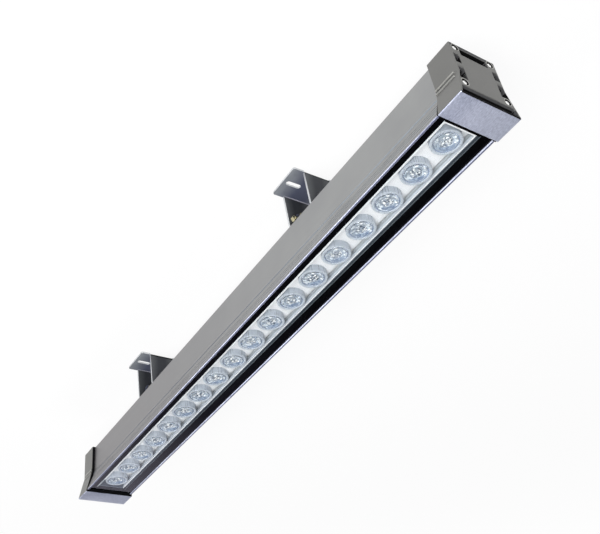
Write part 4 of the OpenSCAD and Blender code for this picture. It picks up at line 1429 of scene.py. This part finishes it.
@dataclass
class LensChamber:
    """What shows through the glass: tray, lens holders, lenses and the line round the window."""

    levels: Levels
    tray_half_x: float = 454.5
    tray_half_y: float = 20.4
    window_half_x: float = 458.9
    window_half_y: float = 25.4
    holder_r: float = 18.3
    seat_r: float = 15.1
    seat_deep: float = 1.7
    top: float = 141.6
    flange_r: float = 14.9
    cone_r: float = 13.4
    foot_r: float = 7.2
    dish_r: float = 7.2
    dish_deep: float = 1.3
    dome: float = 1.2
    lamp_r: float = 3.0
    lamp_top: float = 133.1
    foot_z: float = 130.6
    sides: int = 64
    steps: int = 15
    # The painted crescent's half width as a share of the annulus, and its middle in degrees from X
    crescent: float = 0.42
    crescent_at: float = 50.0
    # The tray's wall: offset out from its half sizes, height and corner radius
    wall: tuple[Triple, ...] = (
        (-0.5, 131.6, 0.1), (2.5, 131.6, 0.1), (2.5, 142.7, 0.3), (1.1, 142.7, 0.05),
        (0.3, 142.7, 0.2), (0.3, 141.3, 0.1), (1.7, 141.2, 0.1), (1.7, 140.2, 0.1),
        (0.9, 140.0, 0.2), (0.6, 137.4, 0.4), (1.6, 136.4, 0.4), (1.6, 133.4, 0.6),
        (0.6, 132.4, 0.1), (-0.5, 132.4, 0.1),
    )
    # Painted highlights of the lamp and painted reflections of its package: X, Y from the axis,
    # radius
    glints: tuple[Triple, ...] = (
        (-9.5, -6.8, 1.6), (2.6, -2.3, 1.25), (-2.7, 2.7, 1.1), (-4.9, 8.7, 1.15),
        (1.9, -10.6, 0.8), (-11.0, 3.4, 0.8),
    )
    # The painted highlights of the half further along X, placed for the lamp seen from another side
    far_glints: tuple[Triple, ...] = (
        (-7.5, -4.5, 1.9), (0.5, -0.5, 1.7), (-3.0, 3.2, 1.3), (-1.0, 7.6, 1.4), (4.5, -6.0, 1.1),
    )
    specks: tuple[Triple, ...] = (
        (-0.4, -2.7, 0.9), (-2.3, 0.4, 0.9), (9.1, -6.5, 0.8), (-7.4, -2.0, 0.7),
    )

    def build(self, finishes: Finishes) -> None:
        """Builds the four kinds of piece.

        Args:
            finishes: the light's finishes.
        """
        self.tray(finishes)
        self.holders(finishes)
        self.lenses(finishes)
        self.window_line(finishes)

    def tray(self, finishes: Finishes) -> None:
        """The reflector tray: a floor with a hole for each lens, and a wall in three waves.

        Args:
            finishes: the light's finishes.
        """
        v, form, tone = self.levels, Form(), TrayTone
        half_x, half_y = self.tray_half_x, self.tray_half_y
        # The floor runs 0.7 mm under the wall
        edge = rectangle(half_x + 0.7, half_y + 0.7) + [v.middle_x, 0.0]
        holes = [ring(self.foot_r + 0.2, 24, (x, 0.0)) for x in v.lens_x()]
        form.sheet([edge, *holes], v.floor, Axis.Z, True)
        form.sheet([edge, *holes], v.floor - 0.8, Axis.Z, False)
        wall = rounded(self.wall)
        out, z = side_middles(wall).T
        inner = out < 2.2
        waves = [(z > 132.5) & (z < 137.2), (z > 137.0) & (z < 140.15), (z > 140.0) & (z < 141.4)]
        # The inner side of the waves takes painted shade: two greys and slate
        near = np.select(
            [inner & wave for wave in waves], [tone.HOLLOW, tone.CREST, tone.SLATE_PAINTED_SHADE], tone.WHITE
        )
        # The wall at the gland's end lies beyond the window, in slate painted shade
        end = np.where(inner & (z > 132.5), tone.SLATE_PAINTED_SHADE, tone.WHITE)
        # On the +Y side slate painted shade covers the outer part of the rim
        far = np.where((out > 1.15) & (z > 142.0), tone.SLATE_PAINTED_SHADE, near)
        form.border(half_x, half_y, v.middle_x, wall, np.concatenate([near, end, far, near]))
        # A strip painted slate, as painted shade, hides the -Y rim beyond the last lens
        painted_shade_strip = rectangle(1.3, 0.2) + [-21.8, 142.7]
        ends = [v.middle_x + half_x - 23.0, v.middle_x + half_x + 2.6]
        form.swept([painted_shade_strip], ends, [tone.SLATE_PAINTED_SHADE], tone.SLATE_PAINTED_SHADE)
        finish = [finishes.reflector, finishes.hollow, finishes.crest, finishes.sealant]
        form.place("tray_moulding", "lamp", "tray", finish, ["reflector_tray"], 40.0)

    def holders(self, finishes: Finishes) -> None:
        """The holders: rings of one rounded section turned about each lens.

        Args:
            finishes: the light's finishes.
        """
        form, low, shoulder = Form(), self.levels.floor, self.top - self.seat_deep
        inner = self.seat_r - 0.75
        section = rounded([
            [inner, low, 0.1], [self.holder_r, low, 0.1], [self.holder_r, self.top, 0.6],
            [self.seat_r, self.top, 0.5], [self.seat_r, shoulder, 0.1], [inner, shoulder, 0.1],
        ])
        bore = (side_middles(section)[:, 0] < self.seat_r - 0.5).astype(int)
        for x in self.levels.lens_x():
            form.turned(section, (x, 0.0, 0.0), Axis.Z, 72, bore, True)
        finish = [finishes.frosted, finishes.tinted]
        form.place("lens_holder_rings", "lamp", "holder", finish, ["lens_holders"])

    def lens_profile(self) -> list[np.ndarray]:
        """Radius and height of a lens, in three parts: its sides, its annulus and its dome.

        The side is r = foot + (cone - foot) s^0.8 from foot to flange. The annulus falls by
        dish_deep (1 - t)^2 from the flange, t = 1, to the dome, t = 0; the dome is
        h = centre - dome (r / dish)^2.

        Returns:
            Three (n, 2) arrays of radius and height.
        """
        low, high = self.levels.floor + 0.2, self.top - self.seat_deep
        crown, rim_r = self.top - 0.2, self.cone_r - 0.4
        s = np.linspace(0.0, 1.0, 9)[:, None]
        side_r = self.foot_r + (self.cone_r - self.foot_r) * s**0.8
        cone = np.hstack([side_r, low + (high - low) * s])
        start = [[0.0, self.lamp_top], [self.lamp_r, self.lamp_top]]
        start += [[self.lamp_r, self.foot_z], [self.foot_r, self.foot_z]]
        rim = [[self.flange_r, high], [self.flange_r, self.top - 0.5]]
        rim += [[self.flange_r - 0.3, crown], [rim_r, crown]]
        t = np.linspace(1.0, 0.0, self.steps)[:, None]
        annulus = [self.dish_r + (rim_r - self.dish_r) * t, crown - self.dish_deep * (1 - t) ** 2]
        r = np.linspace(1.0, 0.0, 13)[:, None]
        dome = [self.dish_r * r, annulus[1][-1, 0] + self.dome * (1 - r**2)]
        return [np.concatenate([start, cone, rim]), np.hstack(annulus), np.hstack(dome)]

    def turns(self) -> np.ndarray:
        """The angle of the middle of each of a lens's sides."""
        return (np.arange(self.sides) + 0.5) * 2.0 * np.pi / self.sides

    def spotted(self, profile: np.ndarray, tone: Tones, glints: tuple[Triple, ...]) -> np.ndarray:
        """Adds the painted glints and specks to the tones of a turned profile's faces.

        Args:
            profile: the part's radius and height.
            tone: the tone without spots, one for all or as an array of the faces.
            glints: the painted highlights.
        Returns:
            The tone of each face.
        """
        r = 0.5 * (profile[1:, :1] + profile[:-1, :1])
        x, y = r * np.cos(self.turns())[None], r * np.sin(self.turns())[None]
        for number, spots in ((LensTone.GLINT, glints), (LensTone.SPECK, self.specks)):
            for spot_x, spot_y, radius in spots:
                tone = np.where(np.hypot(x - spot_x, y - spot_y) < radius, number, tone)
        return tone.ravel()

    def lenses(self, finishes: Finishes) -> None:
        """The lenses: one turned piece each, with a prismatic annulus and a faceted dome.

        The painted crescent covers the annulus where its share t lies within crescent cos(1.4 a) of
        0.5, and a is the angle from the crescent's middle, crescent_at.

        Args:
            finishes: the light's finishes.
        """
        sides, annulus, dome = self.lens_profile()
        turn = self.turns() - math.radians(self.crescent_at)
        turn = np.arctan2(np.sin(turn), np.cos(turn))
        share = np.linspace(1.0, 0.0, self.steps)
        share = 0.5 * (share[1:] + share[:-1])[:, None]
        wide = self.crescent * np.cos(np.clip(1.4 * turn, -np.pi / 2, np.pi / 2))[None]
        ring_tone = np.where(np.abs(share - 0.5) < wide, LensTone.CRESCENT, LensTone.ANNULUS)
        finish = [
            finishes.acrylic, finishes.faceted, finishes.prismatic, finishes.crescent,
            finishes.glint, finishes.speck,
        ]
        for number, x in enumerate(self.levels.lens_x(), start=1):
            form, glints = Form(), self.glints if x < 0.0 else self.far_glints
            form.turned(sides, (x, 0.0, 0.0), Axis.Z, self.sides, LensTone.CLEAR)
            for part, tone in ((annulus, ring_tone), (dome, LensTone.DOME)):
                tone = self.spotted(part, tone, glints)
                form.turned(part, (x, 0.0, 0.0), Axis.Z, self.sides, tone)
            name = f"lens_optic_{number:02d}"
            form.place(name, "lamp", "lens", finish, [f"lens_{number:02d}"], 30.0)

    def window_line(self, finishes: Finishes) -> None:
        """A painted highlight along the print's inner edge: a thin outward wedge.

        Args:
            finishes: the light's finishes.
        """
        form, wide, tall = Form(), 1.1, 0.9
        wedge = np.array([[0.0, 144.6 - tall], [0.0, 144.8 - tall], [-wide, 144.8]])
        # At the gland's end it takes slate painted shade, at the other the print runs on over it
        tone = np.repeat([0, 1, 0, 2], len(wedge))
        form.border(self.window_half_x, self.window_half_y, self.levels.middle_x, wedge, tone)
        finish = [finishes.silicone, finishes.sealant, finishes.printed]
        form.place("window_painted_highlight", "lamp", "seal", finish)


class BracketTone(IntEnum):
    """A bracket's finishes, as its faces count them."""

    SHEET = 0
    CUT = 1
    FOLD_PAINTED_HIGHLIGHT = 2
    FOLD_PAINTED_SHADE = 3
    ARM_PAINTED_SHADE = 4


@dataclass
class Bracket(Fastening):
    """A folded bracket: bright cut edges, folds with a painted highlight inside and painted shade
    outside.
    """

    centre_x: float

    def tones(self, middle: np.ndarray, normal: np.ndarray) -> Tones:
        """Sorts the faces by place and facing: edges, tips and slots are cut, folds slope.

        Args:
            middle: the faces' middles in millimetres.
            normal: the ways they face.
        Returns:
            A BracketTone for each face.
        """
        x, y, z = (middle - [self.centre_x, 0.0, 0.0]).T
        side_x, side_y, side_z = np.abs(normal).T
        # The sides of the sheet, the arms' tips, the slots' walls and the ends of the foot
        cut = side_y > 0.6
        cut |= (side_z > 0.9) & (z > 50.0)
        cut |= (z < 3.2) & (side_z < 0.5) & (np.abs(x) < 4.0)
        cut |= (z < 3.1) & (side_x > 0.6) & (np.abs(y) > 20.5)
        # Folds take a painted highlight inside and painted shade outside, the arms painted shade
        fold = (side_x > 0.15) & (side_z > 0.12) & (side_y < 0.1) & (z < 9.0)
        arm = (side_x > 0.9) & (z > 6.0)
        tone = BracketTone
        return np.select(
            [cut, fold & (normal[:, 2] > 0.0), fold, arm],
            [tone.CUT, tone.FOLD_PAINTED_HIGHLIGHT, tone.FOLD_PAINTED_SHADE, tone.ARM_PAINTED_SHADE], tone.SHEET,
        )


@dataclass
class Mounting:
    """One bracket with its lug, bolts, nuts and washers."""

    side: str
    centre_x: float
    locked: bool
    arm_in: float = 17.5
    lock_at: tuple[float, float] = (-14.3, 48.3)

    def lock_nut(self, finishes: Finishes) -> None:
        """The small brass nut and bolt end on the inner face of the arm further along X.

        Hexagon corners lie at r = flats / 2 / cos(30 deg); the nut is turned with six sides.

        Args:
            finishes: the light's finishes.
        """
        # Bolt end, nut and chamfer: radius, and distance from the arm's inner face
        nut = np.array([
            [0.0, -6.2], [1.7, -6.2], [2.0, -5.9], [2.0, -4.4], [4.4, -4.4], [5.4, -3.7],
            [5.4, 0.1], [0.0, 0.1],
        ])
        nut[:, 1] += self.centre_x + self.arm_in
        form, bracket = Form(), f"bracket_{self.side}"
        form.turned(nut, (0.0, *self.lock_at), Axis.X, 6)
        name = f"lock_nut_{self.side}"
        piece = form.place(name, bracket, "brass_nut", [finishes.brass], (), 30.0)
        break_edges(piece, 0.25, 30.0, False)

    def build(self, frame: dict, finishes: Finishes) -> None:
        """Finishes copies of the CAD pieces.

        Args:
            finishes: the light's finishes.
        """
        bracket, lug = f"bracket_{self.side}", f"lug_{self.side}"
        folded = [finishes.sheet, finishes.cut_edge, finishes.fold, finishes.oxide, finishes.arm]
        Bracket(bracket, bracket, "bracket", folded, 0.3, self.centre_x).build(frame)
        if self.locked:
            self.lock_nut(finishes)
        for kind, slot, finish, edge_mm in (
            ("lug", "lug", finishes.sheet, 0.3),
            ("track_screws", "screws", finishes.steel, 0.4),
            ("track_nuts", "track_nut", finishes.zinc, 0.4),
            ("pivot_bolts", "screws", finishes.blackened, 0.45),
            ("pivot_nuts", "brass_nut", finishes.brass, 0.4),
            ("pivot_washers", "screws", finishes.blackened, 0.2),
        ):
            Fastening(f"{kind}_{self.side}", lug, slot, [finish], edge_mm).build(frame)


# ---------------------------------------------------------------- main


def dress_plain(frame: dict, finishes: Finishes) -> None:
    """Gives each CAD node that is still shown the finish of its slot.

    Args:
        finishes: the light's finishes.
    """
    by_slot = {
        "housing": finishes.body, "end_cap": finishes.cast, "glass": finishes.glass,
        "print": finishes.printed, "seal": finishes.rubber, "screws": finishes.steel,
        "tray": finishes.reflector, "board": finishes.board, "package": finishes.phosphor,
        "holder": finishes.frosted, "lens": finishes.acrylic, "driver": finishes.case,
        "lead_black": finishes.sheath, "lead_red": finishes.silicone_lead,
        "gland": finishes.nickel, "lug": finishes.sheet, "track_nut": finishes.zinc,
        "bracket": finishes.sheet, "brass_nut": finishes.brass,
    }
    slots = {row["node"]: row["material_slot"] for row in frame["record"]["subparts"]}
    for name, node in frame["nodes"].items():
        node.data.materials.clear()
        node.data.materials.append(by_slot[slots[name]].material())


@dataclass(frozen=True)
class Softbox:
    """A rectangular soft lamp: its middle, the point it faces and its sizes, in metres."""

    name: str
    at: Triple
    aim: Triple
    along: Triple
    wide: float
    high: float
    watts: float

    def build(self) -> None:
        """Hangs the lamp, with its width along the given way as near as its facing allows."""
        data = bpy.data.lights.new(self.name, "AREA")
        data.shape, data.energy = "RECTANGLE", self.watts
        data.size, data.size_y = self.wide, self.high
        lamp = new_object(self.name, data)
        back, along = (Vector(self.at) - Vector(self.aim)).normalized(), Vector(self.along)
        side = (along - along.dot(back) * back).normalized()
        turn = Matrix((side, back.cross(side), back)).transposed().to_4x4()
        lamp.matrix_world = Matrix.Translation(self.at) @ turn


@dataclass(frozen=True)
class Studio:
    """The camera of the photograph, the floor, the room and its soft lamps."""

    # The camera's place in millimetres, and its right, down and forward as solved from the photo
    camera_at: Triple = (-824.45, -521.80, 748.97)
    right: Triple = (-0.53190117, 0.83786998, 0.12269896)
    down: Triple = (0.57208891, 0.2487223, 0.78156989)
    view: Triple = (0.62433598, 0.48591265, -0.61163181)
    lens_mm: float = 49.580
    shift: tuple[float, float] = (0.00935, -0.0063)
    floor_r: float = 60.0
    floor_sides: int = 96
    lamps: tuple[Softbox, ...] = (
        Softbox(
            "key softbox", (-1.1, -1.3, 1.7), (0.0, 0.0, 0.1), (1.0, -0.8, 0.0), 1.6, 1.6, 66.0
        ),
        # Beside the strip of ceiling that the glass mirrors: metal shines and glass stays dark
        Softbox(
            "front softbox", (1.05, 0.98, 2.2), (1.05, 0.98, 0.0), (1.0, 0.0, 0.0), 2.3, 0.84, 16.5
        ),
        # Where the long corners of lips and caps mirror it
        Softbox(
            "edge softbox", (0.93, -1.19, 1.19), (0.0, 0.0, 0.15), (1.81, 0.58, -0.51), 1.7, 0.5,
            12.0,
        ),
        # Beyond the near end, for the screw heads and the folds of the brackets
        Softbox(
            "end softbox", (-1.9, 0.95, 1.15), (-0.4, 0.0, 0.1), (0.0, 1.0, 0.0), 0.7, 0.7, 4.5
        ),
    )

    def build(self) -> None:
        """Builds the camera, floor, room and lamps."""
        self.camera()
        self.floor()
        self.room()
        for lamp in self.lamps:
            lamp.build()

    def camera(self) -> None:
        """Puts the camera where the photograph was taken from, rolled as it was."""
        data = bpy.data.cameras.new("photo_camera")
        data.sensor_fit, data.sensor_width, data.lens = "HORIZONTAL", 36.0, self.lens_mm
        data.shift_x, data.shift_y = self.shift
        data.clip_start, data.clip_end = 0.05, 200.0
        camera = new_object("photo_camera", data)
        axes = Matrix((self.right, -Vector(self.down), -Vector(self.view))).transposed()
        place = Matrix.Translation([at * MM for at in self.camera_at])
        camera.matrix_world = place @ axes.to_4x4()
        bpy.context.scene.camera = camera

    def floor(self) -> None:
        """A white floor that stays pale in the picture and keeps the object's shadow."""
        mesh = bpy.data.meshes.new("studio_floor")
        rim = np.pad(ring(self.floor_r, self.floor_sides), ((0, 0), (0, 1)))
        mesh.from_pydata(rim.tolist(), [], [list(range(self.floor_sides))])
        mesh.materials.append(FloorPaint().material())
        new_object("studio_floor", mesh)

    def room(self) -> None:
        """A room with white walls and a dark ceiling, which the glass and the metal mirror."""
        world = bpy.data.worlds.new("studio_room")
        bpy.context.scene.world = world
        tree = empty_tree(world)
        way = add(tree, "TexCoord", output="Generated")
        height = add(tree, "SeparateXYZ", {0: way}, "Z")
        stops = [
            (0.0, grey(1.0)), (0.32, grey(1.0)), (0.40, linear("c8c4d8")),
            (0.47, linear("4a4858")), (0.56, linear("141418")), (1.0, linear("101014")),
        ]
        colour = add(tree, "ValToRGB", {"Fac": height}, stops=stops)
        light = add(tree, "Background", {"Color": colour, "Strength": 1.0})
        add(tree, "OutputWorld", {"Surface": light})


def main() -> None:
    """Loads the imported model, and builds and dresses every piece."""
    logging.basicConfig(level=logging.INFO, format="%(message)s")
    bpy.context.scene.view_settings.view_transform = "Standard"
    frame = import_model()
    finishes, levels = Finishes(), Levels()
    dress_plain(frame, finishes)
    Housing(levels).build(finishes)
    for side, inner_x, outward in (("left", -473.0, -1), ("right", 457.0, 1)):
        cap = EndCap(levels, inner_x, outward, f"end_cap_casting_{side}")
        cap.build(finishes, f"end_cap_{side}")
        CapScrews(cap, f"cap_screws_{side}").build(finishes)
    LensChamber(levels).build(finishes)
    for side, centre_x, locked in (("left", -203.5, True), ("right", 267.0, False)):
        Mounting(side, centre_x, locked).build(frame, finishes)
    for node in ("gland_body", "gland_nut"):
        Fastening(node, "lamp", "gland", [finishes.nickel], 0.5).build(frame)
    Studio().build()


if __name__ == "__main__":
    main()
